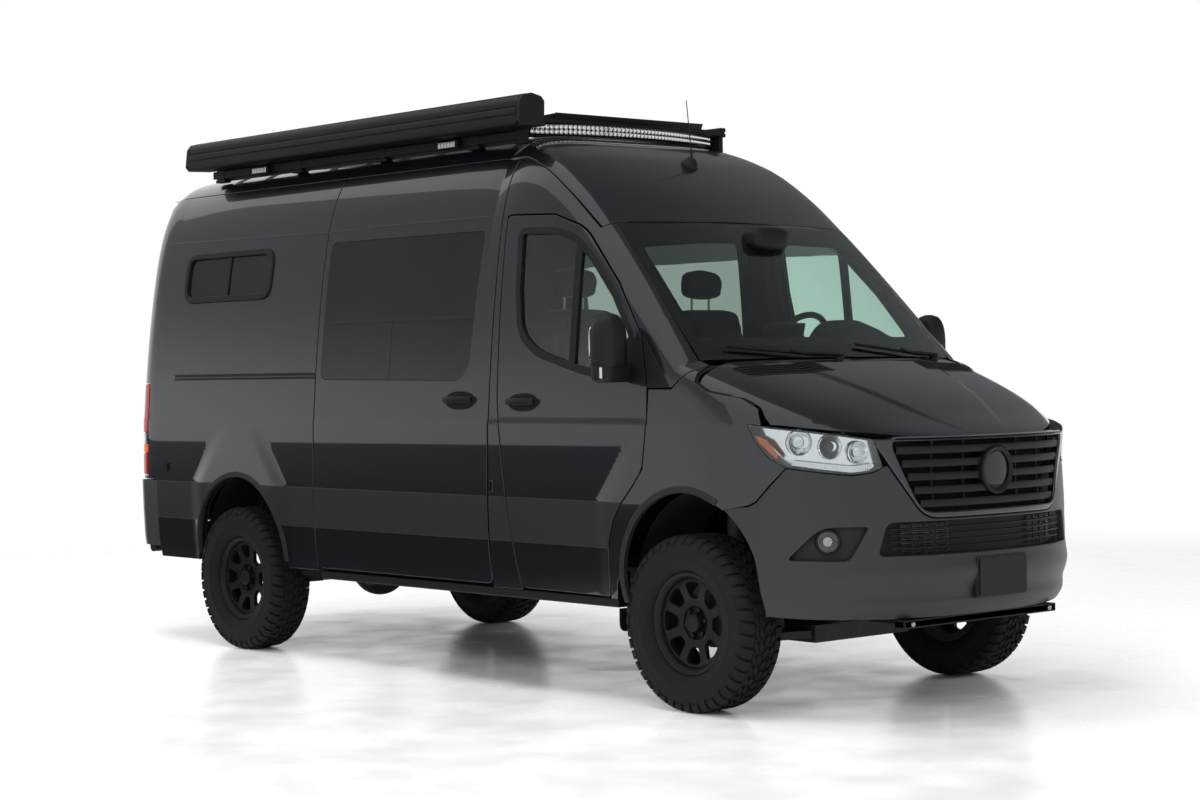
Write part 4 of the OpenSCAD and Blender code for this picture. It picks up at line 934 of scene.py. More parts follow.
# pillars and roof edges of the cab
doorGap = grown(dense(doorOutline, 15), body["gap"])
rearSide = np.array(sorted([p for p in doorGap if 500 < p[1] < 2290 and p[0] < 835], key=lambda p: p[1]))
pillarLoop = np.concatenate([[[598, 484], [rearSide[0][0], 484]], rearSide,
    [[rearSide[-1][0], 2306], [598, 2306]]])
upperDoor = np.array(sorted([p for p in doorGap if p[1] > 1456 and (p[0] > 700 or p[1] > 2296)],
    key=lambda p: -p[0]))
edgeDrop = curve([[600, 104], [1396, 34]])


def roofEdge(u, low=0):  # share across where the roof ends
    top, power, base = float(topLine(u)), float(cornerPower(u)), float(cornerBase(u))
    s = (min(body["seam"],
        top - float(edgeDrop(u))) - low - base) / (top - float(crownDrop(u)) * (735 / crownY) ** 2 - base)
    return (1 - s ** power) ** (1 / power)


roofSide = [overBody(np.array([[u, 1000 * roofEdge(u, 3)]]))[0] for u in np.linspace(604, 1396, 40)]
screenEdge = [screenFace(np.array([[u, w + 5]]))[0] for u, w in zip(np.linspace(1404, 2078, 30),
    np.interp(np.linspace(1404, 2078, 30), *np.array(screenRows).T))]
cabTop = np.array([[p[0], p[2] - 1.5] for p in roofSide + screenEdge])
cabLoop = np.concatenate([[[598, 2309]], [[598, cabTop[0][1]]], cabTop,
    [[2014, 1552], [1960, 1504], [1898, 1456], [1752, 1456]], upperDoor[upperDoor[:, 0] < 1744]])
for side, flip in sides:
    panel(side + "RoofRail", flank, cabLoop, paint, thick=30, edge=2.5, step=14, flipY=flip,
        stands=["cab_frame"] if not flip else [])
    panel(side + "DoorPillar", flank, pillarLoop, paint, thick=body["wall"], edge=2.5, step=20, flipY=flip)
    panel(side + "PillarCladding", flank, between(grown(pillarLoop, -2), 1, *clad), charcoal, **cladForm,
        flipY=flip)
    # black rubber strip laid behind the bonnet's side gap as painted shade, so that the gap reads dark
    line = np.array([[2019, 1556], [2038, 1480], [2116, 1438.5], [2200, 1423.5], [2280, 1408.5],
        [2340, 1378]])
    panel(side + "BonnetGapShade", flank, np.concatenate([line + [9, 5], (line - [13, 9])[::-1]]), sealRubber,
        thick=4, edge=1, lift=-7, step=20, flipY=flip)
    sill = block(side + "Sill", (-905, 1500), (-966, -880), (440, 483), blackTrim, 8)
    inner = block(side + "InnerSill", (-1180, 1480), (-902, -872), (440, 600), blackTrim)
    settle(joined(side + "Sill", [turned(sill, flip), turned(inner, flip)]), "van", "black_plastic")
print("stage: pillars ready")

# roof skin with its rear header and ribs
roofUs = np.linspace(-2768, 1396, 120)
edges = np.array([1000 * roofEdge(u) for u in roofUs])
roofLoop = np.concatenate([np.c_[roofUs, -edges], np.c_[roofUs, edges][::-1]])


def roofFace(p):  # pressed ribs run along the load space
    out = overBody(p)
    rib = 0.5 + 0.5 * np.cos(np.clip((np.abs(np.mod(p[:, 1] + 700, 200) - 100)) / 34, 0, 1) * math.pi)
    ends = np.clip((p[:, 0] + 2600) / 150, 0, 1) * np.clip((200 - p[:, 0]) / 200, 0,
        1) * (np.abs(p[:, 1]) < 640)
    out[:, 2] -= 6 * rib * ends
    return out


panel("roofSkin", roofFace, roofLoop, paint, facing=(0, 0, 1), thick=body["roof"], step=23, stands=["roof"])
rows = []
for t in np.linspace(0, 1, 10):
    upper = overBody(np.array([[-2768, 1000 * c * roofEdge(-2768)] for c in np.linspace(-1, 1, 41)]))
    lower = tailFace(np.array([[-702 * c, 2593] for c in np.linspace(-1, 1, 41)]))
    swell = (math.sin(math.pi * t) * 16 * (1 - np.linspace(-1, 1, 41) ** 4))[:, None]
    rows.append(upper * (1 - t) + lower * t + swell * [[-0.8, 0, 0.5]])
rows = np.array(rows)
behind = rows[::-1] + [46, 0, -6]
header = loft("rearHeader", np.concatenate([rows, behind]), paint, False, False)
settle(header, "van", "paint")
print("stage: roof ready")


# nose: bumper, grille with its painted surround, lamps, blank plate
def frontLoop(rows):  # outline given as [across, height, corner], unrolled round the nose
    return np.array([[float(noseFromFront(y, z)), z] for y, z in dense(soft(rows), 15)])


grilleRows = [[-448, 905, 60], [448, 905, 60], [578, 1196, 20], [566, 1221, 14], [-566, 1221, 14],
    [-578, 1196, 20]]
ringRows = [[-436, 876, 70], [436, 876, 70], [640, 1190, 10], [644, 1221, 0], [-644, 1221, 0],
    [-640, 1190, 10]]
intakeRows = [[-640, 720, 30], [640, 720, 30], [600, 862, 30], [-600, 862, 30]]
grilleLoop, ringLoop, intakeLoop = frontLoop(grilleRows), frontLoop(ringRows), frontLoop(intakeRows)
fogLoop = soft([[-1062, 705, 25], [-790, 702, 30], [-700, 846, 15], [-905, 846, 75]])
lampRows = [[2352, 1292, 12], [2393, 1212, 0], [2451, 1145, 30], [2521, 1105, 0], [2649, 1086, 0],
    [2746, 1070, 30], [2800, 1082, 20], [2822, 1105, 10], [2806, 1224, 10], [2714, 1246, 0],
    [2582, 1267, 0], [2413, 1286, 0]]
lampLoop = np.array([[float(noseFromSide(x, z)), z] for x, z in dense(soft(lampRows), 12)])
archX, archZ, archR = frontArch
sideRows = np.concatenate([[[2409, 452], [2400, 560]], arc(archX, archZ, archR, 14.6, 57.6, 20),
    [[2357, 934], [2395, 951], [2462, 1027], [2527, 1101], [2649, 1083], [2746, 1067], [2801, 1079],
    [2824, 1103]]])
rightHalf = np.array([[float(noseFromSide(x, z)), z] for x, z in sideRows])
ringSide = np.array(sorted([p for p in grown(ringLoop, 1.5) if p[0] < 0 and 874 < p[1] < 1180],
    key=lambda p: -p[1]))
half = np.concatenate([[[s, 440 + 14 * (abs(s) / 1150) ** 4] for s in np.linspace(0, rightHalf[0][0] + 25,
    30)], rightHalf, ringSide[ringSide[:, 1] < 1112], [[0, 874.5]]])
bumperLoop = np.concatenate([half, mirrorLoop(half)[1:-1]])


def bumperFace(p):  # ledge under the intake and a tuck toward the lower edge
    out = nose(p)
    z = p[:, 1]
    middle = np.clip((1000 - np.abs(p[:, 0])) / 300, 0, 1)
    ledge = np.exp(-((z - 640) / 55) ** 2) * 14 - np.exp(-((z - 545) / 40) ** 2) * 12
    tuck = np.clip((520 - z) / 80, 0, 1) ** 2 * 22
    out[:, 0] += (ledge - tuck) * middle - 4
    return out


panel("frontBumperSkin", bumperFace, bumperLoop, litBumperSkin,
    holes=[intakeLoop, fogLoop, mirrorLoop(fogLoop)], facing=(1, 0, 0), thick=30, edge=7, step=18,
    stands=["front_bumper"])
panel("grilleSurround", nose, ringLoop, paint, holes=[grilleLoop], facing=(1, 0, 0), thick=34, edge=9,
    step=20, lift=3)
panel("intakeShroud", nose, grown(intakeLoop, 6), blackTrim, facing=(1, 0, 0), thick=4, edge=1, step=40,
    lift=-62)
for k, z in enumerate((748, 776, 804, 832)):
    path = nose(np.array([[s, z] for s in np.linspace(-590, 590, 40)])) - [34, 0, 0]
    settle(tube("intakeBar%d" % k, path, 5, powder, 8), "van", "black_plastic")
for k, s in enumerate((-480, -420, -360, -300, 300, 360, 420, 480)):
    path = nose(np.array([[s, z] for z in np.linspace(724, 858, 6)])) - [36, 0, 0]
    settle(tube("intakeRib%d" % k, path, 4, powder, 8), "van", "black_plastic")
for s0, s1, name in ((-520, -270, "coolerRight"), (270, 520, "coolerLeft")):
    fins = []
    for z in range(732, 856, 9):
        path = nose(np.array([[s, z] for s in np.linspace(s0, s1, 6)])) - [52, 0, 0]
        fins.append(tube("fin", path, 2.6, alloy, 6))
    settle(joined(name, fins), "van", "steel")
for side, flip in sides:  # fog lamps in their recesses
    panel(side + "FogRecess", nose, grown(fogLoop, 5), charcoal, facing=(1, 0, 0), thick=4, edge=1.5,
        step=24, lift=-36, flipY=flip)
    y = 802 if flip else -802
    turn = spin(40 if flip else -40, "Z") @ spin(90, "Y")
    nest = at(2672, y, 785, turn)
    cup = lathe(side + "FogCup", [(56, -30), (56, -4), (52, 6), (44, 2), (40, -12), (20, -24), (0.5, -28)],
        blackTrim, 40, nest)
    settle(cup, "van", "black_plastic")
    settle(lathe(side + "FogMirror", [(18, -17), (12, -23), (6, -25), (0.5, -26)], alloy, 40, nest), "van",
        "lamp_lens")
    settle(lathe(side + "FogLens", [(44, -3), (43, 2), (32, 8), (16, 11), (0.5, 12)], clearLens, 40, nest))
print("stage: bumper ready")

slats = {"heights": (938, 996, 1054, 1112, 1170)}
for k, z in enumerate(slats["heights"]):
    reach = float(np.interp(z, [905, 1196], [440, 572])) - 4
    rows = []
    for y in np.linspace(-reach, reach, 48):
        s = float(noseFromFront(y, z))
        x, yy, _ = nose(np.array([[s, z]]))[0]
        nx, ny, _ = faceNormals(nose, np.array([[s, z]]), (1, 0, 0))[0]
        section = [(-8, -17), (-4, -14), (0, 8), (-4, 17), (-14, 17), (-30, 5), (-34, -6), (-20, -17)]
        rows.append([[x + nx * (d - 4), yy + ny * (d - 4), z + h] for d, h in section])
    blade = crisp(loft("grilleBlade%d" % k, rows, blackTrim), 40)
    settle(blade, "van", "black_plastic", ["grille"] if k == 0 else [])
panel("grilleBack", nose, grown(grilleLoop, 8), housingFelt, facing=(1, 0, 0), thick=4, edge=1, step=40,
    lift=-70)
for k, y in enumerate((-360, -180, 180, 360)):
    path = nose(np.array([[float(noseFromFront(y, z)), z] for z in np.linspace(915, 1212, 8)])) - [42, 0, 0]
    settle(tube("grilleRib%d" % k, path, 7, blackTrim, 8))
boss = at(2938, 0, 1072, spin(90, "Y"))
settle(lathe("grilleBossRing", [(84, -14), (84, 6), (92, 14), (100, 16), (107, 10), (108, -2), (108, -40),
    (84, -40)], blackTrim, 72, boss), "van", "black_plastic")
settle(lathe("grilleBossDisc", [(86, -20), (86, 0), (60, 4), (0.5, 6)], glossBlack, 64, boss))
plate = prism("blankPlate", soft([[-160, 524, 10], [160, 524, 10], [160, 690, 10], [-160, 690, 10]]), 2966,
    2974, "x", blackTrim)
settle(plate, "van", "black_plastic")
holderLoop = soft([[-168, 516, 14], [168, 516, 14], [168, 698, 14], [-168, 698, 14]])
settle(prism("plateHolder", holderLoop, 2948, 2967, "x", charcoal, 3))
print("stage: grille ready")

# headlamps: clear cover over bright reflectors, ribbed lower strip, amber corner
lampDetail = {"depth": 62, "bowls": ((-1010, 1212, 52), (-868, 1192, 50), (-742, 1166, 44))}
stripLoop = np.array([[-1040, 1136], [-1030, 1112], [-900, 1094], [-765, 1078], [-690, 1086], [-664, 1104],
    [-668, 1118], [-760, 1108], [-900, 1122]])
amberLoop = soft([[-1206, 1246, 6], [-1176, 1206, 4], [-1098, 1140, 8], [-1092, 1158, 6],
    [-1150, 1222, 10]])


for side, flip in sides:
    panel(side + "LampCover", nose, grown(lampLoop, -1.5), clearLens, facing=(1, 0, 0), thick=3, edge=2,
        step=24, lift=-1, flipY=flip, stands=["headlamps"] if not flip else [])
    panel(side + "LampTray", nose, grown(lampLoop, -3), mirrorCoat, facing=(1, 0, 0), thick=4, edge=1,
        step=24, lift=-lampDetail["depth"], flipY=flip)
    panel(side + "LampWall", nose, grown(lampLoop, -1), blackTrim, holes=[grown(lampLoop, -9)],
        facing=(1, 0, 0), thick=60, edge=1, step=40, lift=-5, flipY=flip)
    panel(side + "LampStrip", nose, stripLoop, mirrorCoat, facing=(1, 0, 0), thick=20, edge=3, step=16,
        lift=-16, flipY=flip)
    ribs = []
    for s in np.arange(-1024, -676, 11.0):
        low, high = np.interp(s, [-1030, -900, -765, -690], [1114, 1097, 1081, 1089]), np.interp(s,
            [-1040, -900, -760, -668], [1132, 1119, 1105, 1114])
        ribs.append(tube("rib", nose(np.array([[s, low], [s, (low + high) / 2], [s, high]])) + [-9, 9, 0],
            3.6, clearLens, 6))
    settle(turned(joined(side + "LampRibs", ribs), flip), "van", "lamp_lens")
    panel(side + "LampAmber", nose, amberLoop, amberLens, facing=(1, 0, 0), thick=12, edge=3, step=14,
        lift=-8, flipY=flip)
    for k, (s, z, r) in enumerate(lampDetail["bowls"]):
        place = nose(np.array([[s, z]], float))[0]
        n = faceNormals(nose, np.array([[s, z]], float), (1, 0, 0))[0]
        look = Vector((n[0] + 0.8, n[1] * 0.8, 0)).normalized()
        if flip:
            place, look = place * [1, -1, 1], Vector((look[0], -look[1], look[2]))
        out = place - n * [1, -1 if flip else 1, 1] * 44
        nest = Matrix.Translation(Vector(out) * mm) @ look.to_track_quat("Z", "Y").to_matrix().to_4x4()
        bowl = lathe("%sLampBowl%d" % (side, k), [(r + 5, 14), (r + 2, 17), (r, 14), (r * 0.82, 0),
            (r * 0.5, -14), (r * 0.2, -19), (0.5, -19), (0.5, -24), (r * 0.6, -20), (r + 5, 0)], mirrorCoat,
            48, nest)
        settle(bowl, "van", "lamp_lens")
        eye = lathe("%sLampEye%d" % (side, k), [(r * 0.46, -10), (r * 0.46, 2), (r * 0.36, 9),
            (r * 0.18, 13), (0.5, 14)], clearLens if k != 1 else glossBlack, 32, nest)
        settle(eye, "van", "lamp_lens")
print("stage: headlamps ready")

# black nose bar and its two bolts below the bumper
settle(block("crashBar", (2790, 2850), (-520, 520), (400, 436), powder, 6))
for y in (-470, 470):
    settle(lathe("barBolt%d" % (0 if y < 0 else 1), [(0.5, 0), (13, 0), (13, 6), (10, 10), (0.5, 10)],
        alloy, 6, at(2850, y, 418, spin(90, "Y"))), "van", "steel")


# wheels: all-terrain tyres with lugs that run over the shoulder, eight-window rims
wheels = {"y": 872, "radius": 399, "front": 1960, "rear": -1705, "rim": 231, "bead": 217, "half": 90}
lugs = {"pitches": 44, "depth": 11, "hook": 0.34}
# the tread's outer line: [radius, half width] from the crown over the shoulder to the wall
shoulder = [(398.6, 66), (398, 86), (394, 101), (384, 114), (369, 121.5), (353, 124.2)]
middleRows = [  # corners of the crown blocks, [share of a pitch, across]
    [(0.03, 3), (0.52, 3), (0.80, 15), (0.97, 31), (0.47, 33), (0.24, 18)],
    [(0.14, 38), (0.63, 36), (0.88, 47), (1.02, 60), (0.53, 63), (0.28, 50)]]


def tyreParts(name):  # axis along Z, outer face up
    base, flange = wheels["radius"] - lugs["depth"], wheels["rim"]
    rows = [(wheels["bead"] + 1, 66), (flange + 3, 84), (flange + 8, 101), (262, 114), (282, 119.5),
        (287, 122), (293, 122.4), (297, 120.6), (322, 121.4), (345, 120.6), (358, 116), (374, 106),
        (base - 4, 92), (base - 0.8, 60), (base, 0)]
    rows += [(a, -b) for a, b in rows[:-1][::-1]]
    step = 2 * math.pi / lugs["pitches"]
    verts, faces = [], []

    def place(points, quads, sign):  # points as [turn, radius, across]
        start = len(verts)
        verts.extend([[r * math.cos(t), r * math.sin(t), w] for t, r, w in points])
        faces.extend([tuple(start + i for i in (q if sign > 0 else q[::-1])) for q in quads])

    for k in range(lugs["pitches"]):
        for sign in (1, -1):
            shift = step * (k + (0.5 if sign < 0 else 0))
            for corners in middleRows:  # crown blocks
                n = len(corners)
                mid = np.mean(corners, 0)
                points = [(shift + a * step, base - 4, sign * w) for a, w in corners]
                points += [(shift + (a + (mid[0] - a) * 0.1) * step, wheels["radius"] - 0.3,
                    sign * (w + (mid[1] - w) * 0.1)) for a, w in corners]
                quads = [tuple(range(n, 2 * n))] + [(i, (i + 1) % n, n + (i + 1) % n, n + i)
                    for i in range(n)]
                place(points, quads, sign)
            long = k % 2
            line = shoulder[:6 if long else 5]
            count = len(line)
            points = []
            for i, (r, w) in enumerate(line):  # two lips at the top and two roots in the carcass
                turn = shift + step * (0.02 + lugs["hook"] * (i / 5) ** 1.6)
                wide = step * (0.41 if i < 4 else 0.36)
                drop = 13 if i < 4 else 7
                points += [(turn - wide, r - drop, sign * (w - (4 if i > 2 else 0))),
                    (turn - wide * 0.9, r, sign * w), (turn + wide * 0.9, r, sign * w),
                    (turn + wide, r - drop, sign * (w - (4 if i > 2 else 0)))]
            quads = []
            for i in range(count - 1):
                p, q = 4 * i, 4 * i + 4
                quads += [(p + 1, p + 2, q + 2, q + 1), (p, p + 1, q + 1, q), (p + 2, p + 3, q + 3, q + 2)]
            last = 4 * (count - 1)
            quads += [(3, 2, 1, 0), (last, last + 1, last + 2, last + 3)]
            place(points, [q[::-1] for q in quads], -sign)
    tread = crisp(makeObject(name + "Tread", verts, faces, rubber), 30)
    return joined(name, [lathe(name + "Carcass", rows, rubber, 96, None, 60), tread])


rimFace = {"windows": 8, "inner": 112, "outer": 186, "spoke": 43, "edge": 4, "thick": 24}
dish = np.array([(0, 46), (74, 46), (104, 47), (120, 51), (150, 58), (178, 62), (192, 61), (206, 56)],
    float)


def dishFace(p):  # p is a point of the wheel's plane
    r = np.hypot(p[:, 0], p[:, 1])
    return np.c_[p[:, 0], p[:, 1], np.interp(r, dish[:, 0], dish[:, 1])]


def rimParts(name):
    bead, rim, half = wheels["bead"], wheels["rim"], wheels["half"]
    parts = [lathe(name + "Barrel", [(bead - 22, -half), (rim, -half), (rim, -half + 8), (bead, -half + 22),
        (bead, half - 22), (rim, half - 9), (rim + 1, half - 2), (rim - 2, half), (rim - 8, half),
        (bead - 4, half - 6), (bead - 9, half - 16), (bead - 13, half - 20), (bead - 15, half - 40),
        (bead - 15, -half + 12)], powder, 96, None, 40)]
    turn = 2 * math.pi / rimFace["windows"]
    windows = []
    for k in range(rimFace["windows"]):
        mid, corners = turn * k, []
        for r, rounding in ((rimFace["inner"], 13), (rimFace["outer"], 24)):
            reach = turn / 2 - math.asin(rimFace["spoke"] / 2 / r)
            corners.append([(r * math.cos(mid + s * reach), r * math.sin(mid + s * reach), rounding)
                for s in (-1, 1)])
        crown = [((rimFace["outer"] + 3) * math.cos(mid), (rimFace["outer"] + 3) * math.sin(mid), 10)]
        windows.append(soft([corners[0][0], corners[1][0]] + crown + [corners[1][1], corners[0][1]], 7))
    edge = arc(0, 0, 205, 0, 360, 97)[:-1]
    bowl = arc(0, 0, 76, 0, 360, 49)[:-1]
    face = panelMesh(dishFace, edge, windows + [bowl], (0, 0, 1), rimFace["thick"], rimFace["edge"], 9, 0,
        False)
    parts.append(makeObject(name + "Face", face[0], face[1], powder, face[2]))
    parts.append(lathe("hubBowl", [(79, 40), (79, 22), (0.5, 22), (0.5, 28), (66, 28), (74, 34),
        (77, 42)][::-1], powder, 64, None, 40))
    parts.append(lathe("hubCap", [(44, 24), (44, 58), (41, 66), (36, 70), (30, 71), (28, 69), (0.5, 68)],
        powder, 48, None, 40))
    for k in range(6):
        a = 2 * math.pi * k / 6 + 0.2
        parts.append(lathe("wheelNut", [(0.5, 26), (11, 26), (11, 44), (8, 48), (0.5, 48)], powder, 6,
            at(60 * math.cos(a), 60 * math.sin(a), 0), 30))
    parts.append(tube("valve", [[178, 0, 60], [172, 0, 74]], 4, blackTrim, 8))
    return joined(name, parts)


for x, y, name, rider in ((wheels["front"], -1, "front_right", "front_right_wheel"),
        (wheels["front"], 1, "front_left", "front_left_wheel"),
        (wheels["rear"], -1, "rear_right", "rear_right_wheel"),
        (wheels["rear"], 1, "rear_left", "rear_left_wheel")):
    nest = at(x, y * wheels["y"], wheels["radius"], spin(90 if y < 0 else -90, "X"))
    for make, part, slot in ((tyreParts, "Tyre", "tread"), (rimParts, "Rim", "wheel_black")):
        tag = "".join(w.capitalize() if i else w for i, w in enumerate(name.split("_"))) + part
        thing = make(tag)
        thing.data.transform(nest)
        settle(thing, rider, slot, [name + "_" + part.lower()])
print("stage: wheels ready")


# roof load: rack, awning case, curved light bar, aerial
rack = {"z": 2775, "half": 690, "rear": -2420, "front": 560}


railSection = [[0, 4], [4, 0], [36, 0], [40, 4], [40, 18], [33, 20], [33, 28], [40, 30], [40, 46], [36, 50],
    [26, 50], [25, 44], [15, 44], [14, 50], [4, 50], [0, 46], [0, 30], [7, 28], [7, 20], [0, 18]]
rails = []
for sign in (-1, 1):
    loop = np.array(railSection, float) * [-sign, 1] + [sign * rack["half"], rack["z"]]
    rails.append(prism("rackRail", loop, rack["rear"], rack["front"], "x", powder))
    low = np.array([[2, 0], [28, 0], [28, 40], [22, 44], [8, 44], [2, 40]], float) * [-sign,
        1] + [sign * rack["half"], 2700]
    rails.append(prism("rackLowRail", low, -2360, 530, "x", powder))
    y0, y1 = sorted((sign * 668, sign * 662))
    # closes the view under the rails
    rails.append(block("rackSkirt", (-2350, 520), (y0, y1), (2682, rack["z"] + 4), powder))
    for x in (-2300, -1500, -700, 100, 480):
        y0, y1 = sorted((sign * rack["half"], sign * (rack["half"] - 30)))
        rails.append(block("rackFoot", (x, x + 60), (y0, y1), (2690, rack["z"] + 10), powder, 4))
        rails.append(block("rackShoe", (x - 20, x + 80), (y0 - 8, y1 + 8), (2674, 2692), powder, 5))
for x in range(-2380, 500, 330):
    bar = soft([[x, 8 + rack["z"], 4], [x + 44, 8 + rack["z"], 4], [x + 44, 34 + rack["z"], 6],
        [x, 34 + rack["z"], 6]])
    rails.append(prism("rackBar", bar, -rack["half"] + 34, rack["half"] - 34, "y", powder))
rails.append(block("rackNoseBar", (520, 560), (-rack["half"] + 34, rack["half"] - 34),
    (rack["z"] + 8, rack["z"] + 34), powder, 4))
fairing = prism("rackFairing", soft([[548, rack["z"] + 26, 1], [556, rack["z"] + 24, 1],
    [574, rack["z"] + 60, 2], [566, rack["z"] + 62, 2]]), -510, 510, "y", powder)
rails.append(fairing)
for sign in (-1, 1):  # cheek plates from the fairing back to the rail
    wedge = np.array([[300, rack["z"] + 50], [552, rack["z"] + 30], [560, rack["z"] + 58]], float)
    rails.append(prism("rackCheek", wedge, sign * 512, sign * 506, "y", powder))
settle(joined("rackFrame", rails), "van", "black_metal", ["roof_rack"])
for k, x in enumerate((-1910, -150)):  # side lights under the awning
    settle(block("rackLightCase%d" % k, (x, x + 170), (-716, -688), (2692, 2736), powder, 5))
    cells = [block("cell", (x + 14 + 24 * j, x + 34 + 24 * j), (-719, -714), (2698, 2730), mirrorCoat, 2)
        for j in range(6)]
    settle(joined("rackLightCells%d" % k, cells), "van", "lamp_lens")
print("stage: rack ready")

awning = {"front": 700, "length": 3090, "inner": -690.3, "z": 2742}
case = [[0, 22], [6, 6], [20, 0], [150, 0], [166, 4], [170, 12], [170, 128], [164, 142], [150, 150],
    [120, 158], [90, 163], [60, 160], [36, 152], [22, 140], [12, 122], [8, 100], [9, 96], [12, 94],
    [12, 91], [5, 90], [2, 84], [0, 60], [4, 56], [4, 52], [0, 48]]
loop = np.array(case, float) + [awning["inner"] - 170, awning["z"]]
front, rear = awning["front"], awning["front"] - awning["length"]
settle(crisp(prism("awningCase", loop, rear + 26, front - 26, "x", powder), 30), stands=["awning"])
for tag, x0, x1 in (("Rear", rear, rear + 28), ("Front", front - 28, front)):
    settle(bevelled(prism("awningEnd" + tag, grown(loop[[0, 2, 4, 6, 8, 10, 12, 14]], 1.5), x0, x1, "x",
        blackTrim), 6, 3))
for k, x in enumerate((-2150, -900, 350)):
    settle(block("awningBracket%d" % k, (x, x + 90), (-700, -660), (rack["z"] - 26, rack["z"] + 14), powder,
        4))
settle(tube("awningCrank", [[front + 2 - 30, awning["inner"] - 120, awning["z"] + 60],
    [front - 4, awning["inner"] - 120, awning["z"] + 60]], 14, blackTrim, 16), "van", "black_plastic")
print("stage: awning ready")

lightBar = {"mid": 635, "bow": 1560, "half": 646, "low": 2725, "cells": 50}
turns = np.linspace(-math.asin(lightBar["half"] / lightBar["bow"]),
    math.asin(lightBar["half"] / lightBar["bow"]), 60)
section = [(0, 4), (0, 6), (-12, 7), (-12, 50), (0, 51), (0, 53), (-4, 57), (-26, 57), (-28, 51), (-32, 51),
    (-34, 57), (-40, 57), (-42, 50), (-46, 50), (-48, 55), (-54, 55), (-56, 48), (-68, 46), (-68, 12),
    (-56, 9), (-54, 3), (-48, 3), (-46, 8), (-42, 8), (-40, 0), (-4, 0)]


def onBow(t, out, z):
    r = lightBar["bow"] + out
    return [lightBar["mid"] - lightBar["bow"] + r * math.cos(t), r * math.sin(t), lightBar["low"] + z]


settle(crisp(loft("lightBarHousing", [[onBow(t, d, z) for d, z in section] for t in turns], powder), 35),
    stands=["light_bar"])
span = turns[-1] * 0.965
verts, faces = [], []
step = 2 * span / lightBar["cells"]
for z in (16.5, 40.5):
    for k in range(lightBar["cells"]):
        t = -span + step * (k + 0.5)
        base = len(verts)
        for out, shrink in ((1.2, 1.0), (-9, 0.42)):
            for j in range(8):
                a = 2 * math.pi * j / 8 + math.pi / 8
                verts.append(onBow(t + math.cos(a) * shrink * step * 0.53, out,
                    z + math.sin(a) * shrink * 12.4))
        faces += [(base + j, base + (j + 1) % 8, base + 8 + (j + 1) % 8, base + 8 + j) for j in range(8)]
        faces.append(tuple(base + 8 + j for j in range(8)))
settle(crisp(makeObject("lightBarCups", verts, faces, mirrorCoat), 25))
for sign in (-1, 1):
    nest = onBow(sign * turns[-1], -34, 28)
    tag = "Right" if sign < 0 else "Left"
    settle(block("lightBarEnd" + tag, (nest[0] - 40, nest[0] + 38),
        sorted((nest[1] - sign * 4, nest[1] + sign * 10)), (2722, 2784), powder, 5), "van", "black_metal")
    settle(block("lightBarBracket" + tag, (nest[0] - 60, nest[0] - 10), sorted((sign * 600, sign * 640)),
        (2770, 2802), powder, 4))
print("stage: light bar ready")

aerial = {"x": 1000, "whip": 300}
base = overBody(np.array([[aerial["x"], 0.0]]))[0]
lean = Vector(faceNormals(overBody, np.array([[aerial["x"], 0.0]]), (0, 0, 1))[0])
nest = Matrix.Translation(Vector(base) * mm) @ lean.to_track_quat("Z", "X").to_matrix().to_4x4()
foot = lathe("aerialFoot", [(0.5, 0), (44, 0), (45, 5), (38, 18), (27, 34), (20, 42), (0.5, 44)], blackTrim,
    32, nest, 50)
top = Vector(base) + lean * 38
rise = np.linspace(0, aerial["whip"], 12)
whip = [[top.x - 0.115 * k, top.y, top.z + k] for k in rise]
mast = tube("aerialMast", whip, np.interp(rise, [0, 40, 60, aerial["whip"]], [6, 4.5, 3, 2.2]), blackTrim,
    10)
settle(joined("aerialWhip", [foot, mast]), "van", "black_plastic", ["antenna"])
print("stage: aerial ready")


# outside fittings on the flanks


def superBlock(name, x, y, z, power, material, n=20, m=14):  # soft-cornered block
    mid = [(a[0] + a[1]) / 2 for a in (x, y, z)]
    half = [(a[1] - a[0]) / 2 for a in (x, y, z)]
    wave = lambda t: np.sign(t) * np.abs(t) ** (2 / power)
    rows = []
    for v in np.linspace(-math.pi / 2 + 0.02, math.pi / 2 - 0.02, m):
        rows.append([[mid[0] + half[0] * wave(math.cos(v)) * wave(math.cos(u)),
            mid[1] + half[1] * wave(math.cos(v)) * wave(math.sin(u)), mid[2] + half[2] * wave(math.sin(v))]
            for u in around(n)])
    return loft(name, rows, material)


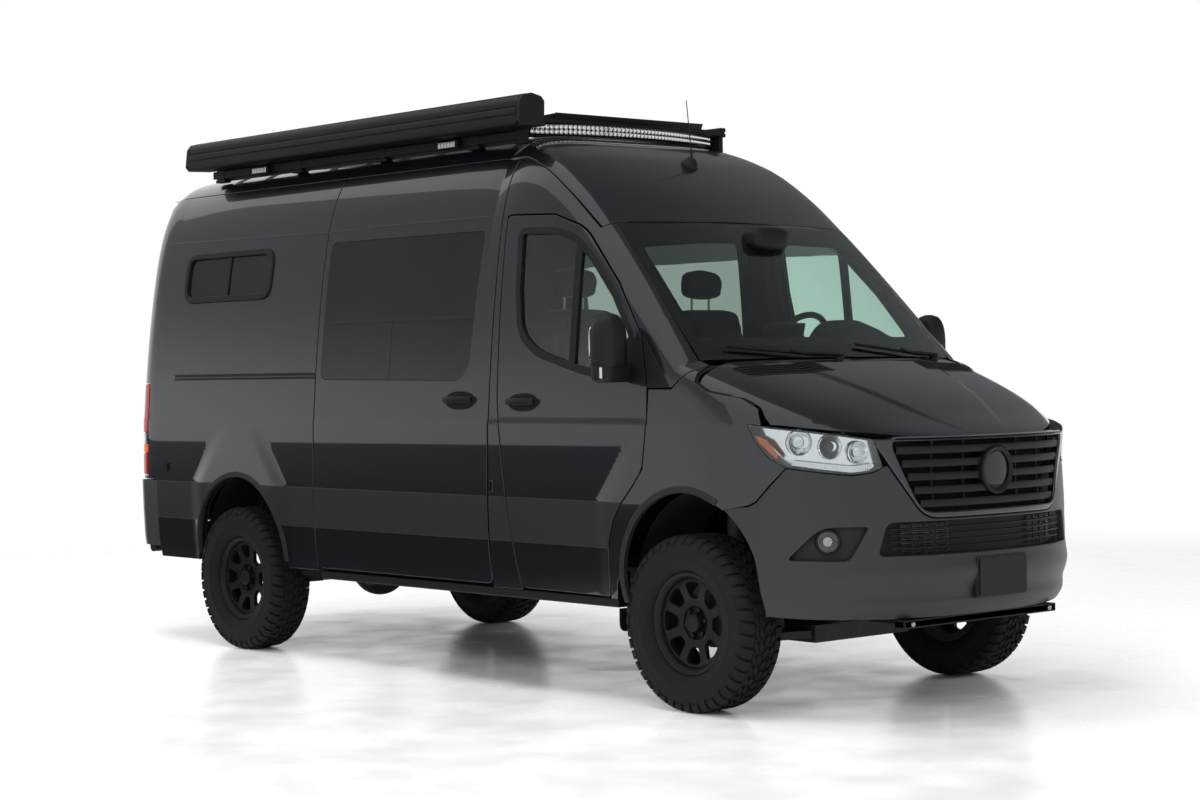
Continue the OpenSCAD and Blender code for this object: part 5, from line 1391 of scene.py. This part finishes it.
def doorMirror(side, flip):
    rider = side + "_front_door"
    rings = []
    for z in np.r_[1552, 1560, np.linspace(1580, 1795, 22)]:  # domed head
        near = (1 - min(1, max(0, (z - 1640) / 155.5)) ** 2.6) ** 0.42 * (0.94 if z < 1556 else 1)
        wave = [(math.copysign(abs(math.cos(t)) ** 0.55, math.cos(t)),
            math.copysign(abs(math.sin(t)) ** 0.55, math.sin(t))) for t in around(40)]
        rings.append([[1612 + 76 * near ** 0.7 * a, -1101 + 67.5 * near * b, z] for a, b in wave])
    head = turned(crisp(loft(side + "MirrorHead", rings, blackTrim), 60), flip)
    lower = turned(superBlock(side + "MirrorBase", (1544, 1676), (-1166, -1000), (1480, 1572), 5, blackTrim,
        32, 18), flip)
    foot = turned(crisp(loft("foot",
        [[[x, -y, z] for x, z in ((1580, 1488), (1652, 1488), (1660, 1500), (1656, 1545), (1584, 1545))]
        for y in (975, 1010, 1060)], blackTrim)), flip)
    settle(joined(side + "MirrorShell", [head, lower, foot]), rider, "black_plastic", [side + "_mirror"])
    glass = turned(prism(side + "MirrorGlass", soft([[-1152, 1580, 22], [-1062, 1580, 22],
        [-1062, 1742, 40], [-1152, 1742, 40]]), 1533, 1540, "x", mirrorCoat), flip)
    settle(glass, rider, "pane")
    lamp = [turned(block("lampBack", (1620, 1638), (-1168.6, -1150), (1498, 1552), mirrorCoat, 4), flip),
        turned(block("lampCover", (1616, 1642), (-1169.5, -1150), (1494, 1556), clearLens, 6), flip)]
    settle(joined(side + "MirrorLamp", lamp), rider, "lamp_lens")
    sail = soft([[1470, 1500, 6], [1731, 1458, 10], [1684, 1684, 20], [1632, 1688, 8]])
    panel(side + "MirrorSail", flank, sail, blackTrim, rider, thick=12, edge=3, lift=4, step=30, flipY=flip)
    corner = soft([[1742, 1454, 4], [1892, 1454, 18], [1698, 1692, 12], [1692, 1684, 2]])
    panel(side + "PillarSail", flank, corner, blackTrim, thick=10, edge=3, lift=3, step=30, flipY=flip)


for side, flip in sides:
    doorMirror(side, flip)
print("stage: mirrors ready")


def handle(name, x0, x1, z0, z1, rider, flip):  # oval cup with a pull across it
    cx, cz, rx, rz = (x0 + x1) / 2, (z0 + z1) / 2, (x1 - x0) / 2, (z1 - z0) / 2
    t = around(40)
    cup = np.c_[cx + rx * np.sign(np.cos(t)) * np.abs(np.cos(t)) ** 0.85, cz + rz * np.sin(t)]
    panel(name + "Cup", flank, cup, sealRubber, rider, "black_plastic", thick=6, edge=3, lift=1.5, step=16,
        flipY=flip)
    ends = np.linspace(x0 + 8, x1 - 20, 16)
    bar = []
    for x in ends:
        share = (x - ends[0]) / (ends[-1] - ends[0])
        out = 16 + 20 * math.sin(math.pi * share) ** 0.6
        y = -float(halfWidth(np.array([x]), np.array([cz]))[0]) - out
        tall, deep = 17 * (1 - 0.25 * abs(share - 0.5)), 8.5
        bar.append([[x, y + deep * math.cos(a), cz + 4 + tall * math.sin(a)] for a in around(16)])
    settle(turned(crisp(loft(name + "Pull", bar, blackTrim), 60), flip), rider, "black_plastic")


for side, flip in sides:
    handle(side + "DoorHandle", 742, 976, 1344, 1433, side + "_front_door", flip)
handle("slidingDoorHandle", 240, 490, 1352, 1444, "van", False)
settle(block("pillarCatch", (612, 640), (-1012, -996), (952, 1008), glossBlack, 6))
panel("towCover", flank, soft([[-2420, 985, 12], [-2380, 985, 12], [-2380, 1040, 14], [-2420, 1040, 14]]),
    glossBlack, thick=4, edge=2, lift=1, step=20)
# pressed line above the panes
for k, (x0, x1, z0, z1) in enumerate(((-2560, -592, 2322, 2300), (-560, 548, 2308, 2306))):
    for side, flip in sides:
        line = np.array([[x0, z0], [(x0 + x1) / 2, (z0 + z1) / 2], [x1, z1]])
        loop = np.concatenate([line - [0, 3], (line + [0, 3])[::-1]])
        panel(side + "PressLine%d" % k, flank, loop, paint, thick=4, edge=1.5, lift=1.2, step=60,
            flipY=flip)
# track of the sliding door
track = soft([[-2350, 1516, 8], [-914, 1516, 4], [-914, 1550, 4], [-2350, 1550, 8]])
panel("doorTrackSlot", flank, track, blackTrim, thick=8, edge=2, lift=1, step=60)
panel("doorTrackRail", flank, soft([[-2336, 1524, 3], [-916, 1524, 3], [-916, 1535, 3], [-2336, 1535, 3]]),
    glossBlack, thick=6, edge=2, lift=5, step=80)
# bars across the large panes
for name, loop in (("paneBarLow", [[-850, 1800], [438, 1800], [440, 1816], [-850, 1816]]),
        ("paneBarUpright", [[-258, 1512], [-240, 1512], [-240, 1800], [-258, 1800]])):
    panel("slidingDoor" + name, flank, np.array(loop, float), glossBlack, thick=4, edge=1.5, lift=1,
        step=60)
for side, flip in sides:
    panel(side + "QuarterDivider", flank, np.array([[-1872, 1990], [-1846, 1990], [-1846, 2218],
        [-1872, 2218]], float), blackTrim, thick=10, edge=3, lift=2, step=40, flipY=flip)
    # lip of the wheel openings
    for tag, (archX, archZ, archR), a0, a1 in (("Rear", rearArch, 182, -2), ("Front", frontArch, 196, 60)):
        lip = np.concatenate([arc(archX, archZ, archR + 26, a0, a1, 60),
            arc(archX, archZ, archR - 5, a1, a0, 60)])
        panel(side + tag + "ArchLip", flank, lip, charcoal, thick=26, edge=6, lift=6, step=24, flipY=flip)
print("stage: flank trim ready")


# solids that keep their shape, finished
for name, coat in (("chassis", powder), ("floor_pan", housingFelt), ("engine_block", castSteel),
        ("front_suspension", castSteel), ("rear_axle", castSteel), ("underbody", castSteel),
        ("right_knuckle", castSteel), ("left_knuckle", castSteel), ("rear_bumper", litBumperSkin)):
    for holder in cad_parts[name].material_slots:
        holder.material = coat
print("stage: solids finished")

# front seats: cushion, back and head rest as stuffed covers
seat = {"y": 440, "voxel": 13, "pressure": 4.0, "frames": 20, "cap": 12}


def stuffed(thing, cap):  # fills out a cover with air pressure, then smooths it
    rule = thing.modifiers.new("even", "REMESH")
    rule.mode, rule.voxel_size = "VOXEL", seat["voxel"] * mm
    with bpy.context.temp_override(object=thing):
        bpy.ops.object.modifier_apply(modifier=rule.name)
    mesh = thing.data
    rest = np.array([v.co[:] for v in mesh.vertices])
    cover = thing.modifiers.new("cover", "CLOTH")
    rules = cover.settings
    rules.use_pressure, rules.uniform_pressure_force = True, seat["pressure"]
    rules.effector_weights.gravity = 0
    rules.quality, rules.mass = 5, 0.4
    rules.tension_stiffness = rules.compression_stiffness = 18
    rules.bending_stiffness = 0.6
    cover.point_cache.frame_start, cover.point_cache.frame_end = 1, seat["frames"]
    for step in range(1, seat["frames"] + 1):
        bpy.context.scene.frame_set(step)
    shape = thing.evaluated_get(bpy.context.evaluated_depsgraph_get()).data
    moved = np.array([v.co[:] for v in shape.vertices]) - rest
    far = np.linalg.norm(moved, axis=1)[:, None]
    moved *= np.minimum(1, cap * mm / np.maximum(far, 1e-9))
    thing.modifiers.remove(cover)
    mesh.vertices.foreach_set("co", (rest + moved).ravel())
    bpy.context.scene.frame_set(1)
    rule = thing.modifiers.new("smooth", "SUBSURF")
    rule.levels = rule.render_levels = 1
    with bpy.context.temp_override(object=thing):
        bpy.ops.object.modifier_apply(modifier=rule.name)
    mesh.shade_smooth()
    return thing


# side outline spread across the seat, narrower at its top and rounded
def seatCover(name, rows, half, taper, belly):
    loop = dense(soft(rows), 40)
    low, high = loop[:, 1].min(), loop[:, 1].max()
    rings = []
    for share in (-1, -0.86, -0.6, -0.3, 0, 0.3, 0.6, 0.86, 1):
        tight = 14 * abs(share) ** 6
        ring = grown(loop, -6 - tight)
        tall = np.clip((ring[:, 1] - low) / (high - low), 0, 1)
        wide = half * (1 - taper * tall ** 2) * (1 - np.abs(2 * tall - 1) ** 3) ** belly
        rings.append(np.c_[ring[:, 0], share * wide, ring[:, 1]])
    return loft(name, rings, seatCloth)


seatForms = {"Cushion": ([[752, 1080, 30], [1246, 1124, 40], [1246, 1238, 45], [1120, 1216, 60],
    [880, 1196, 40], [786, 1196, 20]], 248, 0.0, 0.0), "Back": ([[728, 1118, 40], [846, 1196, 30],
    [800, 1400, 60], [768, 1560, 60], [700, 1862, 55], [576, 1862, 50]], 246, 0.14, 0.04),
    "HeadRest": ([[568, 1900, 30], [664, 1896, 34], [652, 2060, 60], [572, 2060, 40]], 136, 0.04, 0.3)}
for part, (rows, half, taper, belly) in seatForms.items():
    right = stuffed(seatCover("rightSeat" + part, rows, half, taper, belly), seat["cap"])
    right.data.transform(at(0, -seat["y"], 0))
    left = mirrored(right, "leftSeat" + part)
    for side, thing in (("right", right), ("left", left)):
        settle(thing, "van", "seat_cloth", ["seats"] if part == "Back" and side == "right" else [])
for side, sign in (("right", -1), ("left", 1)):
    y = sign * seat["y"]
    posts = [tube("post", [[604, y + d, 1835], [606, y + d, 1920]], 7, alloy, 12) for d in (-62, 62)]
    settle(joined(side + "SeatPosts", posts), "van", "steel")
    base = [block("seatBox", (785, 1175), (y - 198, y + 198), (666, 1060), blackTrim, 18),
        block("seatPan", (745, 1235), (y - 236, y + 236), (1040, 1092), blackTrim, 20),
        block("seatSlide", (720, 1200), (y - 214, y - 176), (1020, 1044), castSteel, 4),
        block("seatSlide", (720, 1200), (y + 176, y + 214), (1020, 1044), castSteel, 4)]
    settle(joined(side + "SeatFrame", base), "van", "black_plastic")
    piping = []
    for d in (-150, 150):  # sewn lines between the middle and the bolsters
        piping.append(tube("seam", [[1225, y + d, 1240], [1110, y + d, 1222], [960, y + d, 1206],
            [880, y + d, 1200]], 4, sealRubber, 8))
        piping.append(tube("seam", [[826, y + d, 1300], [798, y + d, 1430], [770, y + d, 1570],
            [722, y + d * 0.95, 1790]], 4, sealRubber, 8))
    settle(joined(side + "SeatPiping", piping), "van", "seat_cloth")
print("stage: seats ready")

# dashboard, binnacle, display, vents, column and wheel
dash = {"half": 866}
profile = soft([[1572, 1392, 60], [1600, 1180, 60], [1660, 1012, 30], [1862, 1012, 10], [1880, 1480, 60],
    [1990, 1606, 10], [1984, 1640, 12], [1744, 1684, 60], [1604, 1648, 46]])
dashRings = []
for y in (-dash["half"], -dash["half"] + 14, -820, -600, -250, 0, 250, 600, 820, dash["half"] - 14,
        dash["half"]):
    ring = grown(profile, -12 if abs(y) == dash["half"] else 0)
    # the front edge follows the windscreen
    sweep = 0.00018 * y * y * np.clip((ring[:, 0] - 1640) / 300, 0, 1)
    dashRings.append(np.c_[ring[:, 0] - sweep, np.full(len(ring), float(y)), ring[:, 1]])
parts = [crisp(loft("dashBody", np.array(dashRings)[::-1], dashSkin), 40)]
hood = []
for y in np.linspace(222, 640, 19):  # hood over the dials
    share = (y - 431) / 209
    rise = 96 * max(0.0, 1 - abs(share) ** 3.2)
    row = [[1560 + 10 * abs(share), 1640], [1566 + 10 * abs(share), 1652 + rise * 0.86],
        [1590, 1668 + rise], [1660, 1672 + rise * 0.96], [1740, 1676 + rise * 0.55], [1800, 1664]]
    hood.append([[x, y, z] for x, z in row])
parts.append(crisp(loft("dialHood", hood, dashSkin, True, True), 50))
settle(joined("dashboardBody", parts), "van", "charcoal_plastic", ["dashboard"])
screen = block("dashDisplay", (-6, 8), (-140, 140), (-62, 62), glossBlack, 6)
screen.data.transform(at(1598, 40, 1690, spin(14, "Y")))
settle(screen, "van", "black_plastic")
vents = []
for y in (-760, -560, -130, 210, 700):
    turn = spin(-96, "Y")
    vents.append(lathe("ventRing", [(44, 0), (44, 10), (40, 14), (34, 12), (32, 4), (32, -8), (40, -8)],
        glossBlack, 32, at(1578, y, 1560, turn)))
    vents += [block("ventBlade", (1572, 1584), (y - 30, y + 30), (1560 + d - 2, 1560 + d + 2), blackTrim)
        for d in (-16, 0, 16)]
settle(joined("dashVents", vents), "van", "black_plastic")
trims = [block("gloveLid", (1586, 1604), (-800, -280), (1250, 1470), dashSkin, 10),
    block("dashStrip", (1574, 1592), (-820, 820), (1488, 1506), alloy, 4)]
settle(joined("dashTrim", trims), "van", "charcoal_plastic")
helm = {"place": (1350, 400, 1628), "lean": 62, "rim": 190}
turn = spin(-helm["lean"], "Y")
place = at(*helm["place"], turn)
rimRow = [(helm["rim"] + 16 * math.cos(a), 16 * math.sin(a)) for a in around(18)]
wheelParts = [lathe("helmRim", rimRow, dashSkin, 72, None, 80)]
for a in (0, 118, 242):
    rows = [[[r, w, z] for w, z in ((-wide, -8), (-wide, 2), (-wide + 5, 6), (wide - 5, 6), (wide, 2),
        (wide, -8))] for r, wide in ((40, 30), (80, 25), (130, 18), (176, 17), (188, 17))]
    spoke = crisp(loft("helmSpoke", rows, dashSkin), 40)
    spoke.data.transform(spin(a + 180, "Z"))
    wheelParts.append(spoke)
wheelParts.append(lathe("helmPad", [(0.5, -30), (58, -30), (62, -24), (62, 4), (56, 12), (30, 15),
    (0.5, 16)], dashSkin, 48, None, 50))
wheel = joined("helmWheel", wheelParts)
wheel.data.transform(place)
settle(wheel, "helm", "black_plastic", ["steering_wheel"])
shroud = lathe("columnShroud", [(20, -36), (44, -40), (58, -70), (66, -140), (70, -286), (20, -286)],
    dashSkin, 40, place, 50)
stalks = [tube("stalk", [[0, s * 40, -60], [0, s * 120, -50], [0, s * 172, -44]], [7, 7, 9], blackTrim, 12)
    for s in (-1, 1)]
for stalk in stalks:
    stalk.data.transform(place)
settle(joined("columnCover", [shroud] + stalks), "van", "black_plastic")
print("stage: dashboard ready")

# lining: roof, walls, door cards, sensor pod at the top of the windscreen
liningUs = np.linspace(-2650, 1380, 60)
liningEdge = np.array([1000 * roofEdge(u, 30) for u in liningUs])
roofLining = np.concatenate([np.c_[liningUs, -liningEdge], np.c_[liningUs, liningEdge][::-1]])
panel("roofLining", overBody, roofLining, liningFelt, facing=(0, 0, 1), thick=12, edge=4, step=90, lift=-66)
pod = superBlock("sensorPod", (1440, 1570), (-92, 148), (2104, 2222), 3.6, blackTrim, 32, 20)
settle(pod, "van", "black_plastic")
for side, flip in sides:
    cardLoop = grown(doorOutline, -34)
    panel(side + "DoorCard", flank, cardLoop, dashSkin, side + "_front_door", "charcoal_plastic",
        holes=[grown(doorGlass, 12)], thick=10, edge=4, step=36, lift=-59, flipY=flip)
    rest = turned(block(side + "ArmRest", (800, 1330), (-938, -872), (1330, 1376), dashSkin, 16, 3), flip)
    settle(rest, side + "_front_door", "charcoal_plastic")
    wallLoop = dense(np.array([[-2600, 1020], [560, 1020], [560, 2440], [-2600, 2440]], float), 90)
    panes = [grown(quarterGlass, 14), grown(leftGlass if flip else sliderGlass, 14)]
    panel(side + "WallLining", flank, wallLoop, liningFelt, holes=panes, thick=8, edge=3, step=80,
        lift=-body["wall"] - 8, flipY=flip)
    panel(side + "PillarSeal", flank, dense(np.array([[600, 520], [672, 520], [672, 2240], [600, 2240]],
        float), 60), sealRubber, thick=4, edge=1, step=40, lift=-66, flipY=flip)
    archX, archZ, archR = rearArch
    linerLoop = np.concatenate([arc(archX, archZ, archR - 2, 8, 172, 50),
        [[archX - 560, archZ + 56], [archX - 560, 1045], [archX + 500, 1045], [archX + 500, archZ + 56]]])
    panel(side + "ArchLiner", flank, linerLoop, housingFelt, thick=5, edge=1, step=60,
        lift=-body["wall"] - 2, flipY=flip)
print("stage: lining ready")

# tail: lamps, hinges, handle, plate place, bumper step, mud flaps
lampFront = float(flankStation(-2630, 1200)) - 4
tail = {"low": 961, "high": 1499, "hingeX": -2862, "hingeY": 796, "hinges": (780, 1880)}


def lampSlice(low, high, inset=0):  # part of the lamp's outline between two heights
    zs = np.linspace(high, low, 14)
    return np.concatenate([[[lampFront - inset, high], ], [[rearEdge(z) + 6 + inset, z] for z in zs],
        [[lampFront - inset, low]]])


for side, flip in sides:
    panel(side + "TailLampHousing", flank, lampSlice(tail["low"], tail["high"]), blackTrim, thick=30,
        edge=2, lift=-6, step=30, flipY=flip)
    for tag, low, high, coat in (("Brake", 1212, 1496, redLens), ("Clear", 1148, 1204, clearLens),
            ("Turn", 1092, 1142, amberLens), ("Low", 964, 1086, redLens)):
        panel(side + tag + "Lens", flank, lampSlice(low, high, 3), coat, "van", "red_lens", thick=8, edge=3,
            lift=2, step=20, stands=["tail_lamps"] if tag == "Brake" and side == "right" else [],
            flipY=flip)
    rider, sign = side + "_cargo_door", 1 if flip else -1
    knuckles = []
    for z in tail["hinges"]:
        knuckles.append(lathe("knuckle", [(6.4, 0), (12, 0), (13, 2), (13, 68), (12, 70), (6.4, 70)],
            blackTrim, 28, at(tail["hingeX"], sign * tail["hingeY"], z)))
        panel(side + "HingeStrap%d" % z, tailFace, soft([[-792, z + 4, 4], [-676, z + 12, 12],
            [-676, z + 58, 12], [-792, z + 66, 4]]), blackTrim, rider, facing=(-1, 0, 0), thick=12, edge=3,
            lift=9, step=20, flipY=flip)
        wing = np.array([[-2868, sign * 786], [-2866, sign * 800], [-2830, sign * 792],
            [-2826, sign * 776]])
        knuckles.append(prism("hingeWing", wing, z + 4, z + 66, "z", blackTrim, 2))
    settle(joined(side + "HingeKnuckles", knuckles), rider, "black_plastic")
    pins = [lathe("pin", [(0.5, z - 20), (6, z - 20), (6, z + 90), (0.5, z + 90)], castSteel, 20,
        at(tail["hingeX"], sign * tail["hingeY"], 0)) for z in tail["hinges"]]
    for z in (756, 852, 1856, 1952):
        pins.append(lathe("eye", [(6.2, z), (13, z), (13, z + 18), (6.2, z + 18)], blackTrim, 28,
            at(tail["hingeX"], sign * tail["hingeY"], 0)))
        arm = np.array([[-2858, sign * 790], [-2856, sign * 808], [-2826, sign * 832], [-2800, sign * 838],
            [-2800, sign * 826], [-2834, sign * 800]])
        pins.append(prism("hingeArm", arm, z + 1, z + 17, "z", blackTrim, 2))
    settle(joined(side + "HingePins", pins), "van", "black_plastic")
    seal = [[-14, 664], [-2, 664], [-2, 2582], [-14, 2582]]
    panel(side + "RearDoorSeal", tailFace, np.array(seal, float), sealRubber, rider, facing=(-1, 0, 0),
        thick=20, edge=1, lift=-24, step=60, flipY=flip)
plateLoop = soft([[-700, 1150, 30], [-150, 1150, 30], [-150, 1330, 30], [-700, 1330, 30]])
panel("rearPlatePlace", tailFace, plateLoop * [-1, 1], blackTrim, "left_cargo_door", facing=(-1, 0, 0),
    thick=6, edge=4, lift=4, step=40)
panel("rearPlateBlank", tailFace, soft([[265, 1175, 10], [585, 1175, 10], [585, 1306, 10],
    [265, 1306, 10]]), charcoal, "left_cargo_door", facing=(-1, 0, 0), thick=3, edge=1, lift=7, step=60)
grip = [block("gripBase", (-2874, -2840), (-150, -40), (1190, 1290), blackTrim, 10),
    block("gripBar", (-2884, -2870), (-140, -50), (1236, 1256), blackTrim, 5)]
settle(joined("rearDoorGrip", grip), "right_cargo_door", "black_plastic")
brakeStrip = [block("brakeCase", (-2812, -2780), (-190, 190), (2618, 2650), blackTrim, 6),
    block("brakeLens", (-2818, -2806), (-176, 176), (2624, 2644), redLens, 3)]
settle(joined("highBrakeLamp", brakeStrip), "van", "red_lens")
ribs = [block("treadRib", (-2890, -2800), (y, y + 12), (646, 652), blackTrim, 2) for y in range(-720, 710,
    36)]
ribs.append(block("stepPlate", (-2884, -2760), (-800, 800), (628, 647.6), blackTrim, 3))
settle(joined("bumperStepRibs", ribs), "van", "black_plastic")
flaps = []
for sign in (-1, 1):
    for x, y, z0, z1 in ((1508, (-970, -745), 330, 438), (-2130, (-925, -745), 290, 500)):
        a, b = sorted((sign * -y[0], sign * -y[1]))
        loop = soft([[a, z0, 40], [b, z0, 40], [b, z1, 3], [a, z1, 3]])
        flaps.append(prism("flap", loop, x, x + 8, "x", sealRubber, 2))
    a, b = sorted((sign * 858, sign * 745))
    flaps.append(prism("flap", soft([[a, 430, 2], [b, 430, 2], [b, 504, 3], [a, 504, 3]]), 1508, 1516, "x",
        sealRubber, 2))
settle(joined("mudFlapSet", flaps), "van", "flap_rubber", ["mud_flaps"])
print("stage: tail ready")
